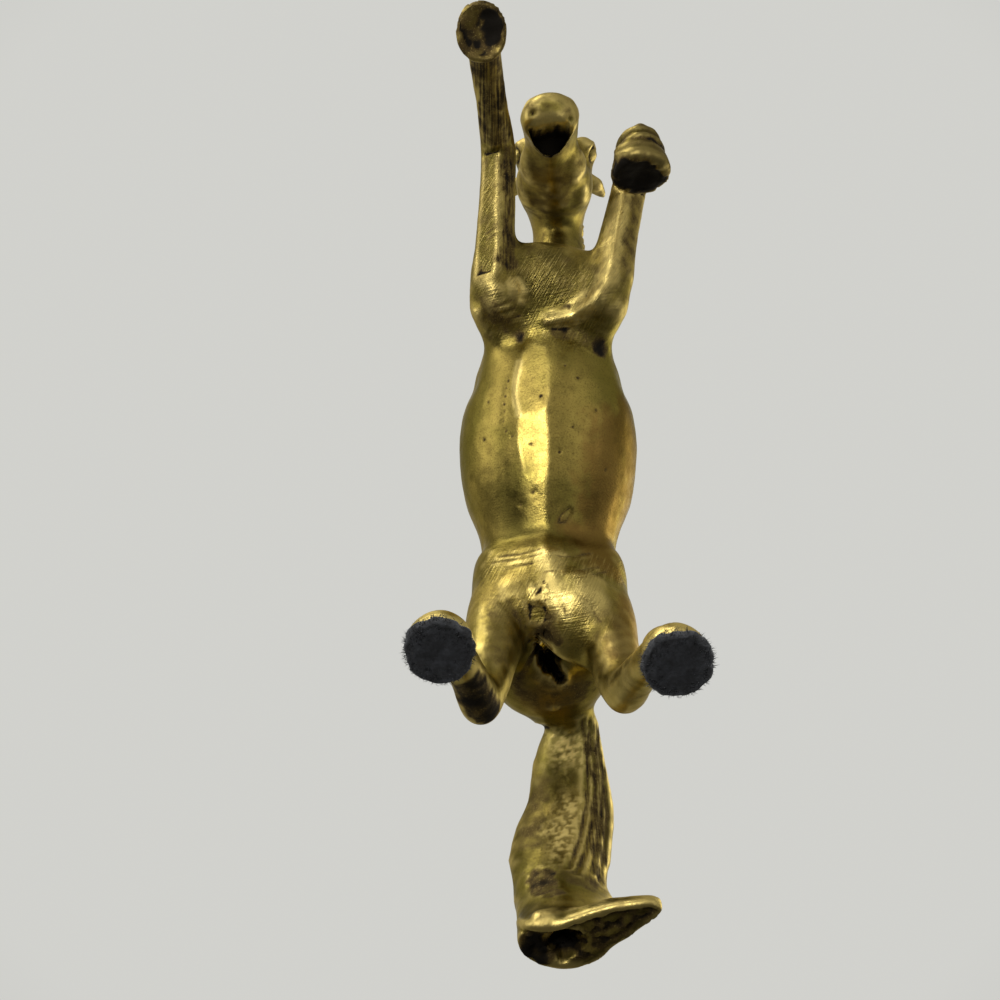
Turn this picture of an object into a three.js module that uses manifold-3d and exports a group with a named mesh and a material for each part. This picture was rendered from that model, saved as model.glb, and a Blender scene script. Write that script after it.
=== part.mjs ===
// A rearing horse in cast brass, about 140 mm tall. The body is a hollow casting in two half shells. The neck,
// head, legs and tail are castings of their own, coped to fit what carries them and brazed on with a bead of filler.
// The horse stands on two felt pads under its hind hooves and on the open end of its tail.
// Millimetres. +Z is up, the horse faces -Y, and its left side is +X.
import * as THREE from 'three';
import { mergeVertices } from 'three/addons/utils/BufferGeometryUtils.js';
import Module from 'manifold-3d';

// Joints and walls
const GAP = 0.3; // clear gap between one casting, or bead, and the next
const WALL = 2.4; // wall of the hollow body
const SEAM = 0.8; // filler between the two half shells
const BEAD_WIDTH = 1; // how far a bead of filler spreads along a limb
const BEAD_RISE = 1; // how far a bead of filler spreads out over what carries the limb

// Stance
const STANCE = 27.4; // between the hind hooves, centre to centre
const STAGGER = 1.7; // right hind hoof ahead of the left one
const PAD_THICKNESS = 1.4;
const PAD_OVERHANG = 0.25; // felt past the edge of the sole
const GLUE = 0.15; // film of glue between a pad and its sole

// Hooves
const HOOF_WIDTH = 7.7;
const HOOF_LENGTH = 8.7;
const HOOF_HEIGHT = 5.8;
const HIND_HOOF_RAKE = 4; // hind coronet behind the middle of the sole
const CORONET_WIDTH = 6.2;
const CORONET_LENGTH = 6.6;
const RING_GROOVE = 0.45; // depth of the groove under the coronet
const SOLE_HOLLOW = 1.1; // depth of the cupped sole on a raised hoof
const SOLE_RIM = 0.7; // flat rim left around a cupped sole

// Hind leg: its bones from the ground up, each with its pitch in degrees above straight ahead
const HIND_PASTERN = 4.6;
const HIND_PASTERN_PITCH = 120;
const HIND_CANNON = 17.6;
const HIND_CANNON_PITCH = 154;
const GASKIN = 22;
const GASKIN_PITCH = 97;
const THIGH = 15.5;
const THIGH_PITCH = 122;
const HOCK_SPREAD = 20.4; // between the hocks
const STIFLE_SPREAD = 16.4; // between the stifles
const HIP_SPREAD = 9.4; // between the hips
const LEFT_HOCK_LIFT = 2.4; // left hock above the right one

// Body, measured from the middle of the barrel
const REAR_ANGLE = 45; // pitch of the body's long axis
const HIP_SETBACK = 31; // hip behind the middle of the barrel
const ELBOW_AHEAD = 20.6;
const ELBOW_DROP = 15.6;
const ELBOW_SPREAD = 18.8;
const SHOULDER_AHEAD = 16;
const SHOULDER_DROP = 4;
const SHOULDER_SPREAD = 9.6;

// Forelegs, from the elbow out. The right one reaches forward and the left one is folded.
const FOREARM = 28.6;
const FORE_CANNON = 20.4;
const FORE_PASTERN = 4.6;
const RIGHT_FOREARM_PITCH = 40;
const RIGHT_CANNON_PITCH = -30;
const RIGHT_PASTERN_PITCH = -50;
const RIGHT_HOOF_PITCH = -80;
const LEFT_FOREARM_PITCH = 48;
const LEFT_CANNON_PITCH = -70;
const LEFT_PASTERN_PITCH = -80;
const LEFT_HOOF_PITCH = -133;
const RIGHT_KNEE_OUT = -0.6; // knee further out than its elbow
const RIGHT_FOOT_OUT = 1.8; // foot further out than its knee
const LEFT_KNEE_OUT = 6.4;
const LEFT_FOOT_OUT = -1.8;

// Neck and head
const NECK_AHEAD = 22;
const NECK_RISE = 6;
const NECK_LOWER = 18;
const NECK_LOWER_PITCH = 70;
const NECK_UPPER = 21;
const NECK_UPPER_PITCH = 50;
const NECK_SIDE = 2.4; // bend of the neck to the left
const POLL_SIDE = 2.4;
const HEAD_LENGTH = 39;
const HEAD_PITCH = -54;
const MUZZLE_SIDE = 0.2;
const BROW_SPREAD = 10.8; // between the middles of the eye ridges
const BROW_WIDTH = 5.6;
const BROW_LENGTH = 12;
const BROW_HEIGHT = 5.4;
const BROW_AHEAD = 12.5; // middle of an eye ridge down the head from the poll
const BROW_RISE = 4.4;
const EAR_LENGTH = 10.5;
const EAR_WIDTH = 5;
const EAR_THICKNESS = 2.4;
const EAR_ROOTS = 8; // between the roots of the ears
const EAR_TIPS = 21; // between the tips of the ears
const EAR_PITCH = 132;
const EAR_AHEAD = 5; // root of an ear down the head from the poll
const EAR_RISE = 4; // root of an ear out from the middle of the head
const MOUTH_WIDTH = 7;
const MOUTH_HEIGHT = 4.6;
const MOUTH_DEPTH = 9; // from the lip in
const MOUTH_DROP = 3.4; // below the middle of the muzzle

// Tail
const DOCK_INSET = 4; // root of the tail in from the rear end of the body
const DOCK_RISE = 4;
const DOCK_SIDE = 3; // dock to the left of the midline
const TAIL_SWING = 12; // how far the tail stands out behind the dock
const TAIL_FOOT_BACK = 3; // foot of the tail behind the dock
const TAIL_FOOT_SIDE = 1.4;
const LOCK_HEIGHT = 2.3; // thickness of the lock of hair that spreads out along the ground
const TAIL_HOLLOW = 5; // depth of the open end
const TAIL_HOLLOW_WIDTH = 6.4;
const TAIL_HOLLOW_LENGTH = 4.8;

// Ragged vent left open in the midline between the thighs
const VENT_WIDTH = 3.2;
const VENT_LENGTH = 8.4;
const VENT_BACK = 40; // behind the middle of the barrel

// Sections of each casting. half is half the width; over is the reach from the centre line toward the back of the
// horse or the front of a limb, and under is the reach the other way.
// Body: along is measured forward from the middle of the barrel.
const BODY_SECTIONS = [
  { along: -49, half: 2.5, over: 6, under: 1 },
  { along: -46.6, half: 7, over: 11.5, under: 6 },
  { along: -40, half: 12.2, over: 17, under: 13.6 },
  { along: -31, half: 13.8, over: 19.4, under: 16 },
  { along: -21, half: 11.8, over: 17.6, under: 15.6 },
  { along: -11, half: 14.8, over: 16.2, under: 17 },
  { along: 0, half: 16, over: 15.6, under: 17.8 },
  { along: 10, half: 14.2, over: 16.8, under: 17 },
  { along: 19, half: 10.8, over: 20, under: 14.8 },
  { along: 27, half: 10.6, over: 19.4, under: 13 },
  { along: 33, half: 8.2, over: 14.5, under: 10 },
  { along: 36, half: 3, over: 7, under: 5 },
];
const CORE_FROM = -40; // the hollow runs from this section
const CORE_TO = 27; // to this one

// Limbs: share runs from one joint to the next.
const SHOULDER_SECTION = { half: 4.4, over: 5.4, under: 5.4 };
const THIGH_SECTIONS = [
  { share: 0, half: 5.6, over: 11.5, under: 12 },
  { share: 0.5, half: 6, over: 10.6, under: 10.6 },
];
const GASKIN_SECTIONS = [
  { share: 0, half: 5.2, over: 7.4, under: 8 },
  { share: 0.5, half: 3.9, over: 4.8, under: 5.2 },
];
const HIND_CANNON_SECTIONS = [
  { share: 0, half: 2.9, over: 3.2, under: 3.8 },
  { share: 0.3, half: 2.5, over: 2.8, under: 2.9 },
  { share: 0.7, half: 2.4, over: 2.5, under: 2.6 },
  { share: 1, half: 2.8, over: 3, under: 3 },
];
const FOREARM_SECTIONS = [
  { share: 0, half: 4.4, over: 4.8, under: 4.6 },
  { share: 0.35, half: 3.5, over: 4.2, under: 4.2 },
  { share: 0.7, half: 3, over: 3.3, under: 3.2 },
];
const FORE_CANNON_SECTIONS = [
  { share: 0, half: 3, over: 3.4, under: 3.2 },
  { share: 0.35, half: 2.6, over: 2.7, under: 2.7 },
  { share: 0.7, half: 2.4, over: 2.5, under: 2.5 },
  { share: 1, half: 2.7, over: 2.9, under: 2.9 },
];
const NECK_SECTIONS = [
  { share: 0, half: 8.4, over: 15, under: 13 },
  { share: 0.25, half: 7.2, over: 14, under: 11.4 },
  { share: 0.5, half: 5.8, over: 12, under: 9.4 },
  { share: 0.78, half: 5, over: 9.4, under: 7.8 },
  { share: 1, half: 4.4, over: 7, under: 6.6 },
];
// Mane: share runs along the neck; rise and side are from the middle of the neck to the middle of the mane.
const MANE_SECTIONS = [
  { share: 0.12, rise: 12, side: 2, half: 1.8, over: 2, under: 2 },
  { share: 0.35, rise: 10.4, side: 3.6, half: 2.4, over: 3.4, under: 4 },
  { share: 0.6, rise: 8.2, side: 3.6, half: 2.2, over: 3.4, under: 4.4 },
  { share: 0.9, rise: 5.4, side: 2, half: 2, over: 2.6, under: 2.6 },
];
const HEAD_SECTIONS = [
  { share: -0.12, half: 3.4, over: 3, under: 4 },
  { share: 0, half: 6, over: 6.2, under: 7 },
  { share: 0.2, half: 7.6, over: 6.8, under: 8.6 },
  { share: 0.42, half: 6.4, over: 5.8, under: 8.2 },
  { share: 0.64, half: 5, over: 4.8, under: 6.2 },
  { share: 0.84, half: 5.2, over: 5, under: 6.4 },
  { share: 0.96, half: 5.1, over: 4.6, under: 6 },
  { share: 1.03, half: 3.4, over: 2.8, under: 4 },
];
// Tail: swing is the share of the tail's swing, height the share of the dock's height.
const TAIL_SECTIONS = [
  { swing: 0, height: 1, side: 3, half: 4.2, over: 4.4, under: 4.4 },
  { swing: 0.5, height: 0.93, side: 3.6, half: 4.7, over: 4, under: 4.2 },
  { swing: 0.95, height: 0.7, side: 4, half: 6.6, over: 4.6, under: 4.6 },
  { swing: 1, height: 0.45, side: 2.2, half: 8.3, over: 4.8, under: 4.8 },
  { swing: 0.7, height: 0.2, side: 1.8, half: 7, over: 4.6, under: 4.8 },
];
const TAIL_FOOT = { half: 6.2, over: 4.8, under: 4.8 };
// Outline of the lock on the ground: to the left and back from the middle of the tail's foot
const LOCK_OUTLINE = [
  [-4.4, -3.6], [0, -3.6], [6, -6.4], [11.2, -7.2], [13.2, -6.6], [12.8, -5.2], [8.6, 0], [3.6, 4.6], [-2, 4.6],
];

const BODY_SIDE_COUNT = 32;
const NECK_SIDE_COUNT = 20;
const LIMB_SIDE_COUNT = 16;
const BODY_RING_COUNT = 2; // rings from one section to the next
const LIMB_RING_COUNT = 2;

const BRASS = { color: 0x8d7436, roughness: 0.34, metalness: 1 };
const FILLER = { color: 0xa98f4a, roughness: 0.45, metalness: 1 };
const FELT = { color: 0x17181a, roughness: 0.95, metalness: 0 };

const DEGREE = Math.PI / 180;
const ACROSS = new THREE.Vector3(1, 0, 0);
const FAR = 400; // a cutting block reaches past the whole figure

const wasm = await Module();
wasm.setup();

function place(side, ahead, up) {
  return new THREE.Vector3(side, -ahead, up);
}

function stride(from, length, pitch, side = from.x) {
  const ahead = length * Math.cos(pitch * DEGREE);
  const up = length * Math.sin(pitch * DEGREE);
  return place(side, ahead - from.y, from.z + up);
}

function solidOf(geometry) {
  const bare = geometry.clone();
  bare.deleteAttribute('normal');
  bare.deleteAttribute('uv');
  const merged = mergeVertices(bare, 1e-4);
  const mesh = new wasm.Mesh({
    numProp: 3,
    vertProperties: new Float32Array(merged.getAttribute('position').array),
    triVerts: new Uint32Array(merged.index.array),
  });
  return new wasm.Manifold(mesh);
}

function geometryOf(solid) {
  const mesh = solid.getMesh();
  const geometry = new THREE.BufferGeometry();
  geometry.setAttribute('position', new THREE.BufferAttribute(new Float32Array(mesh.vertProperties), 3));
  geometry.setIndex(new THREE.BufferAttribute(new Uint32Array(mesh.triVerts), 1));
  geometry.computeVertexNormals();
  return geometry;
}

// A section of a loft: where its centre lies and how far it reaches each way.
function section(centre, size) {
  return { centre, half: size.half, over: size.over, under: size.under };
}

function sectionsBetween(from, to, sizes) {
  return sizes.map((size) => section(from.clone().lerp(to, size.share), size));
}

// A skin lofted through oval sections, smooth from each to the next and closed at both ends.
function loft(sections, sides, steps, grow = 0) {
  const path = new THREE.CatmullRomCurve3(sections.map((s) => s.centre));
  const size = new THREE.CatmullRomCurve3(sections.map((s) => new THREE.Vector3(s.half, s.over, s.under)));
  const rings = (sections.length - 1) * steps;
  const positions = [];
  const index = [];
  const corner = new THREE.Vector3();
  for (let ring = 0; ring <= rings; ring += 1) {
    const centre = path.getPoint(ring / rings);
    const reach = size.getPoint(ring / rings);
    const along = path.getTangent(ring / rings);
    const over = along.clone().cross(ACROSS).normalize();
    const side = over.clone().cross(along);
    if (ring === 0) centre.addScaledVector(along, -grow);
    if (ring === rings) centre.addScaledVector(along, grow);
    for (let k = 0; k < sides; k += 1) {
      const turn = (2 * Math.PI * k) / sides;
      const rise = Math.cos(turn) > 0 ? reach.y : reach.z;
      corner.copy(centre);
      corner.addScaledVector(side, (reach.x + grow) * Math.sin(turn));
      corner.addScaledVector(over, (rise + grow) * Math.cos(turn));
      positions.push(...corner);
    }
  }
  const last = rings * sides;
  for (let k = 1; k < sides - 1; k += 1) {
    index.push(0, k, k + 1);
    index.push(last, last + k + 1, last + k);
  }
  for (let ring = 0; ring < rings; ring += 1) {
    for (let k = 0; k < sides; k += 1) {
      const next = (k + 1) % sides;
      const low = ring * sides;
      const high = low + sides;
      index.push(low + k, high + k, high + next);
      index.push(low + k, high + next, low + next);
    }
  }
  const geometry = new THREE.BufferGeometry();
  geometry.setAttribute('position', new THREE.BufferAttribute(new Float32Array(positions), 3));
  geometry.setIndex(index);
  return solidOf(geometry);
}

function block(low, high) {
  const size = high.clone().sub(low);
  const centre = low.clone().add(high).multiplyScalar(0.5);
  const box = new THREE.BoxGeometry(size.x, size.y, size.z);
  box.translate(centre.x, centre.y, centre.z);
  return solidOf(box);
}

// A ball stretched along X, along its own axis and across both. Its axis is pitched above straight ahead.
function egg(centre, width, length, height, pitch = 0) {
  const ball = new THREE.SphereGeometry(0.5, 16, 10);
  ball.scale(width, length, height);
  ball.rotateX(-pitch * DEGREE);
  ball.translate(centre.x, centre.y, centre.z);
  return solidOf(ball);
}

function belowBlock(height) {
  return block(new THREE.Vector3(-FAR, -FAR, -FAR), new THREE.Vector3(FAR, FAR, height));
}

function sideBlock(from, to) {
  return block(new THREE.Vector3(from, -FAR, -FAR), new THREE.Vector3(to, FAR, FAR));
}

// The ring of filler in the corner between a limb and what carries it.
function bead(limb, carrier) {
  const corner = limb(BEAD_WIDTH).intersect(carrier(BEAD_RISE));
  return corner.subtract(carrier(GAP)).subtract(limb(GAP));
}

// Hind legs, from the hooves up, and the body on top of them
const soleHeight = PAD_THICKNESS + GLUE;

function hindJoints(hand) {
  const ahead = -hand * STAGGER / 2;
  const hoof = place(hand * STANCE / 2, ahead, soleHeight);
  const coronet = place(hoof.x, ahead - HIND_HOOF_RAKE, soleHeight + HOOF_HEIGHT);
  const fetlock = stride(coronet, HIND_PASTERN, HIND_PASTERN_PITCH);
  const levelFetlock = fetlock.clone().setY(fetlock.y + ahead);
  const hock = stride(levelFetlock, HIND_CANNON, HIND_CANNON_PITCH, hand * HOCK_SPREAD / 2);
  const stifle = stride(hock, GASKIN, GASKIN_PITCH, hand * STIFLE_SPREAD / 2);
  const hip = stride(stifle, THIGH, THIGH_PITCH, hand * HIP_SPREAD / 2);
  if (hand > 0) hock.z += LEFT_HOCK_LIFT;
  return { hoof, coronet, fetlock, hock, stifle, hip };
}

const barrel = stride(hindJoints(1).hip, HIP_SETBACK, REAR_ANGLE, 0);

function onBody(side, along, over) {
  return stride(stride(barrel, along, REAR_ANGLE, side), over, REAR_ANGLE + 90, side);
}

function body(grow) {
  const sections = BODY_SECTIONS.map((s) => section(onBody(0, s.along, 0), s));
  return loft(sections, BODY_SIDE_COUNT, BODY_RING_COUNT, grow);
}

function core() {
  const hollow = BODY_SECTIONS.filter((s) => s.along >= CORE_FROM && s.along <= CORE_TO);
  const sections = hollow.map((s) => section(onBody(0, s.along, 0), s));
  return loft(sections, BODY_SIDE_COUNT, BODY_RING_COUNT, -WALL);
}

// A hoof from its coronet down to its sole, with the groove under the coronet.
function hoofSections(coronet, sole) {
  const at = (share, inset) => {
    const width = THREE.MathUtils.lerp(CORONET_WIDTH, HOOF_WIDTH, share);
    const length = THREE.MathUtils.lerp(CORONET_LENGTH, HOOF_LENGTH, share);
    const reach = length / 2 - inset;
    return section(coronet.clone().lerp(sole, share), { half: width / 2 - inset, over: reach, under: reach });
  };
  return [at(0, 0), at(0.26, 0), at(0.42, RING_GROOVE), at(0.6, 0), at(1, 0)];
}

function hindLeg(hand) {
  const joint = hindJoints(hand);
  const deepSole = joint.hoof.clone().setZ(joint.hoof.z - 1);
  const sections = [
    ...sectionsBetween(joint.hip, joint.stifle, THIGH_SECTIONS),
    ...sectionsBetween(joint.stifle, joint.hock, GASKIN_SECTIONS),
    ...sectionsBetween(joint.hock, joint.fetlock, HIND_CANNON_SECTIONS),
    ...hoofSections(joint.coronet, deepSole),
  ];
  return (grow) => loft(sections, LIMB_SIDE_COUNT, LIMB_RING_COUNT, grow);
}

function pad(hand) {
  const { hoof } = hindJoints(hand);
  const felt = new THREE.CylinderGeometry(1, 1, PAD_THICKNESS, 32);
  felt.rotateX(Math.PI / 2);
  felt.scale(HOOF_WIDTH / 2 + PAD_OVERHANG, HOOF_LENGTH / 2 + PAD_OVERHANG, 1);
  felt.translate(hoof.x, hoof.y, PAD_THICKNESS / 2);
  return solidOf(felt);
}

// Forelegs
function foreJoints(hand, pitch, kneeOut, footOut) {
  const shoulder = onBody(hand * SHOULDER_SPREAD / 2, SHOULDER_AHEAD, -SHOULDER_DROP);
  const elbow = onBody(hand * ELBOW_SPREAD / 2, ELBOW_AHEAD, -ELBOW_DROP);
  const knee = stride(elbow, FOREARM, pitch.forearm, elbow.x + hand * kneeOut);
  const fetlock = stride(knee, FORE_CANNON, pitch.cannon, knee.x + hand * footOut);
  const coronet = stride(fetlock, FORE_PASTERN, pitch.pastern);
  const hoof = stride(coronet, HOOF_HEIGHT, pitch.hoof);
  return { shoulder, elbow, knee, fetlock, coronet, hoof };
}

function foreLeg(joint) {
  const sections = [
    section(joint.shoulder, SHOULDER_SECTION),
    ...sectionsBetween(joint.elbow, joint.knee, FOREARM_SECTIONS),
    ...sectionsBetween(joint.knee, joint.fetlock, FORE_CANNON_SECTIONS),
    ...hoofSections(joint.coronet, joint.hoof),
  ];
  return (grow) => loft(sections, LIMB_SIDE_COUNT, LIMB_RING_COUNT, grow);
}

function cuppedSole(joint, hoofPitch) {
  const width = HOOF_WIDTH - 2 * SOLE_RIM;
  const length = HOOF_LENGTH - 2 * SOLE_RIM;
  return egg(joint.hoof, width, 2 * SOLE_HOLLOW, length, hoofPitch);
}

const rightPitch = {
  forearm: RIGHT_FOREARM_PITCH,
  cannon: RIGHT_CANNON_PITCH,
  pastern: RIGHT_PASTERN_PITCH,
  hoof: RIGHT_HOOF_PITCH,
};
const leftPitch = {
  forearm: LEFT_FOREARM_PITCH,
  cannon: LEFT_CANNON_PITCH,
  pastern: LEFT_PASTERN_PITCH,
  hoof: LEFT_HOOF_PITCH,
};

// Neck and head
const neckRoot = onBody(0, NECK_AHEAD, NECK_RISE);
const neckMiddle = stride(neckRoot, NECK_LOWER, NECK_LOWER_PITCH, NECK_SIDE);
const poll = stride(neckMiddle, NECK_UPPER, NECK_UPPER_PITCH, POLL_SIDE);
const muzzle = stride(poll, HEAD_LENGTH, HEAD_PITCH, MUZZLE_SIDE);

function neck(grow) {
  const bend = new THREE.CatmullRomCurve3([neckRoot, neckMiddle, poll]);
  const sections = NECK_SECTIONS.map((s) => section(bend.getPoint(s.share), s));
  return loft(sections, NECK_SIDE_COUNT, LIMB_RING_COUNT, grow);
}

function mane() {
  const bend = new THREE.CatmullRomCurve3([neckRoot, neckMiddle, poll]);
  const sections = MANE_SECTIONS.map((s) => {
    const rise = bend.getTangent(s.share).cross(ACROSS).normalize().multiplyScalar(s.rise);
    const centre = bend.getPoint(s.share).add(rise).addScaledVector(ACROSS, s.side);
    return section(centre, s);
  });
  return loft(sections, LIMB_SIDE_COUNT, LIMB_RING_COUNT);
}

function head(grow) {
  return loft(sectionsBetween(poll, muzzle, HEAD_SECTIONS), NECK_SIDE_COUNT, LIMB_RING_COUNT, grow);
}

// A place on the head: down its length from the poll, and out toward its face.
function onHead(ahead, rise, side) {
  const middle = poll.clone().lerp(muzzle, ahead / HEAD_LENGTH);
  return stride(middle, rise, HEAD_PITCH + 90, middle.x + side);
}

function brow(hand) {
  const middle = onHead(BROW_AHEAD, BROW_RISE, hand * BROW_SPREAD / 2);
  return egg(middle, BROW_WIDTH, BROW_LENGTH, BROW_HEIGHT, HEAD_PITCH);
}

function ear(hand) {
  const root = onHead(EAR_AHEAD, EAR_RISE, hand * EAR_ROOTS / 2);
  const tip = stride(root, EAR_LENGTH, EAR_PITCH, poll.x + hand * EAR_TIPS / 2);
  const half = EAR_WIDTH / 2;
  const thick = EAR_THICKNESS / 2;
  const sections = [
    section(root, { half: half * 0.8, over: thick, under: thick }),
    section(root.clone().lerp(tip, 0.5), { half, over: thick, under: thick }),
    section(tip, { half: half * 0.2, over: thick * 0.4, under: thick * 0.4 }),
  ];
  return loft(sections, LIMB_SIDE_COUNT, LIMB_RING_COUNT);
}

function mouth() {
  const lip = stride(muzzle, MOUTH_DROP, HEAD_PITCH - 90);
  return egg(lip, MOUTH_WIDTH, 2 * MOUTH_DEPTH, MOUTH_HEIGHT, HEAD_PITCH);
}

// Tail
const dock = onBody(DOCK_SIDE, BODY_SECTIONS[0].along + DOCK_INSET, DOCK_RISE);
const tailFoot = place(TAIL_FOOT_SIDE, -dock.y - TAIL_FOOT_BACK, 0);

function tail(grow) {
  const hung = TAIL_SECTIONS.map((s) => {
    const centre = place(s.side, -dock.y - TAIL_SWING * s.swing, dock.z * s.height);
    return section(centre, s);
  });
  const sections = [...hung, section(tailFoot.clone().setZ(-1), TAIL_FOOT)];
  return loft(sections, NECK_SIDE_COUNT, LIMB_RING_COUNT, grow);
}

function tailLock() {
  const outline = new THREE.Shape(LOCK_OUTLINE.map(([left, back]) => new THREE.Vector2(left, back)));
  const slab = new THREE.ExtrudeGeometry(outline, { depth: LOCK_HEIGHT, bevelEnabled: false });
  slab.translate(tailFoot.x, tailFoot.y, 0);
  return solidOf(slab);
}

// The castings
const pieces = [];

function add(name, solid, finish) {
  pieces.push({ name, solid, finish });
}

const vent = egg(onBody(0, -VENT_BACK, -13), VENT_WIDTH, VENT_LENGTH, 12, REAR_ANGLE);
const shell = body(0).subtract(core()).subtract(vent);
const halfStart = SEAM / 2 + GAP;
add('body_left', shell.intersect(sideBlock(halfStart, FAR)), BRASS);
add('body_right', shell.intersect(sideBlock(-FAR, -halfStart)), BRASS);
add('midline_braze', shell.intersect(sideBlock(-SEAM / 2, SEAM / 2)), FILLER);

const bodyClear = body(GAP);
const handed = [
  { hand: 1, word: 'left', pitch: leftPitch, kneeOut: LEFT_KNEE_OUT, footOut: LEFT_FOOT_OUT },
  { hand: -1, word: 'right', pitch: rightPitch, kneeOut: RIGHT_KNEE_OUT, footOut: RIGHT_FOOT_OUT },
];
for (const { hand, word, pitch, kneeOut, footOut } of handed) {
  const hind = hindLeg(hand);
  add(`hindleg_${word}`, hind(0).subtract(bodyClear).subtract(belowBlock(soleHeight)), BRASS);
  add(`hindleg_${word}_braze`, bead(hind, body), FILLER);
  add(`felt_pad_${word}`, pad(hand), FELT);
  const joints = foreJoints(hand, pitch, kneeOut, footOut);
  const fore = foreLeg(joints);
  add(`foreleg_${word}`, fore(0).subtract(bodyClear).subtract(cuppedSole(joints, pitch.hoof)), BRASS);
  add(`foreleg_${word}_braze`, bead(fore, body), FILLER);
}

const maneFree = mane().subtract(head(GAP + BEAD_WIDTH)).subtract(body(GAP + BEAD_RISE));
add('neck', neck(0).subtract(bodyClear).add(maneFree), BRASS);
add('neck_braze', bead(neck, body), FILLER);
const skull = head(0).add(brow(1)).add(brow(-1)).add(ear(1)).add(ear(-1));
add('head', skull.subtract(neck(GAP)).subtract(mouth()), BRASS);
add('throat_braze', bead(head, neck), FILLER);
const tailHollow = egg(tailFoot, TAIL_HOLLOW_WIDTH, TAIL_HOLLOW_LENGTH, 2 * TAIL_HOLLOW);
const tailSolid = tail(0).add(tailLock()).subtract(bodyClear);
add('tail', tailSolid.subtract(belowBlock(0)).subtract(tailHollow), BRASS);
add('tail_braze', bead(tail, body), FILLER);

// The figure stands with the middle of its footprint box at the origin.
const horse = new THREE.Group();
for (const { name, solid, finish } of pieces) {
  const mesh = new THREE.Mesh(geometryOf(solid), new THREE.MeshStandardMaterial(finish));
  mesh.name = name;
  horse.add(mesh);
}
const box = new THREE.Box3().setFromObject(horse, true);
const middle = box.getCenter(new THREE.Vector3());
for (const mesh of horse.children) {
  mesh.geometry.translate(-middle.x, -middle.y, -box.min.z);
}

export default horse;
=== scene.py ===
import math

import bmesh
import bpy
import numpy as np
from mathutils import Matrix, Vector
from mathutils.bvhtree import BVHTree


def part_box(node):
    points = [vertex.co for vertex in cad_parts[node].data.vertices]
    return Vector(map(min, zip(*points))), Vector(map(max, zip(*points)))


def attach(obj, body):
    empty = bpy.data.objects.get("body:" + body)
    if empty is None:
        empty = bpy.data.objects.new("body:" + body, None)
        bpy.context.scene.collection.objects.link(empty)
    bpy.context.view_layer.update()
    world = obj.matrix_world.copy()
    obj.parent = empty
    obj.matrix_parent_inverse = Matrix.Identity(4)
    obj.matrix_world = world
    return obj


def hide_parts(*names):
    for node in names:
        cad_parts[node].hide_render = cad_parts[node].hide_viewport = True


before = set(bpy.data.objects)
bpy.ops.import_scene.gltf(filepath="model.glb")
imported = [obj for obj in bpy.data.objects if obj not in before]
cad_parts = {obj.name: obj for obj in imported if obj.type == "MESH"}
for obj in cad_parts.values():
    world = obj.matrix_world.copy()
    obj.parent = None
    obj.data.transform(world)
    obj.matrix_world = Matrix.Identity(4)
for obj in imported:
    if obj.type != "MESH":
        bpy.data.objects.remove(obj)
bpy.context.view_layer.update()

# A cast brass horse, rearing, seen from below.
# The castings were brazed together, filed down and left to age.
# Shapes are worked out in millimetres and handed to Blender in metres.
MM = 0.001
ACROSS = np.array([1.0, 0.0, 0.0])
FAR_OFF = 1e9

# The photograph's camera: its image is 1000 by 1000, and the focal length is in its pixels
IMAGE_SIDE = 1000
FOCAL_PIXELS = 1050
EYE = np.array([-3.83, -76.2, -94.84])
VIEW_RIGHT = np.array([0.99961, 0.01396, 0.02418])
VIEW_UP = np.array([0.0, -0.86603, 0.5])
VIEW_AHEAD = np.array([-0.02792, 0.49981, 0.86569])

# Skin
VOXEL = 0.42
SWELL = 0.2  # closes the fitting gaps between the castings
SMOOTH_ROUNDS = 90
BLEND_ROUNDS = 90
BLEND_REACH = 4.2  # how far a filed joint is blended out from its braze
BRAZE_DEPTH = 0.8  # thickness of a visual bead of braze, and of a half shell
SEAM_HALF = 0.55  # half width of the midline braze
SHOWN_SLACK = 0.6  # how far behind the first surface a point still counts as shown
LINE_STEPS = 5  # places between two pixels of a traced line
BODY_ROUNDS = 160  # smoothing of the body and the hind legs
LIMB_ROUNDS = 40  # smoothing of the rest
VOTE_ROUNDS = 6  # rounds in which stray faces join the casting around them
LEAST_FACES = 40  # a smaller island of faces goes to the casting around it

# Felt pads
FELT_SIDES = 96
FELT_FIBRES = 700
FELT_RIM, FELT_ROUND = 0.92, 0.08  # shares of the radius: where the rim begins, and its width
FIBRE_RIM = 0.93  # fibres beyond this share of the radius stand out from the rim

# Body axis, as in the solids: middle of the barrel, the way forward and the way to the back
MIDLINE = -0.49
BARREL = np.array([MIDLINE, 10.9, 75.95])
FORWARD = np.array([0.0, -math.sqrt(0.5), math.sqrt(0.5)])
TOPWARD = np.array([0.0, math.sqrt(0.5), math.sqrt(0.5)])

# Stations of the plug that fills the hollow body: along, half width, reach to the back, reach to the belly
CORE = [
    (-34, 11.6, 16.6, 13.4),
    (-31, 12.4, 18.0, 14.6),
    (-21, 10.4, 16.2, 14.2),
    (-11, 13.4, 14.8, 15.6),
    (0, 14.6, 14.2, 16.4),
    (10, 12.8, 15.4, 15.6),
    (19, 9.4, 18.6, 13.4),
    (27, 9.2, 18.0, 11.6),
]

# Joints of the solids that the details follow
POLL = np.array([1.91, -20.1, 128.7])
MUZZLE = np.array([-0.29, -43.0, 97.2])
FACEWARD = np.array([0.0, -0.809, 0.588])
NECK_PATH = np.array([[MIDLINE, -0.4, 95.75], [1.91, -6.6, 112.7], POLL])
TAIL_PATH = np.array([
    [2.5, 45.5, 47.0], [3.1, 51.5, 43.7], [3.5, 56.9, 32.9],
    [1.7, 57.5, 21.2], [1.3, 53.9, 9.4], [0.9, 48.5, 0.0],
])
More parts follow.
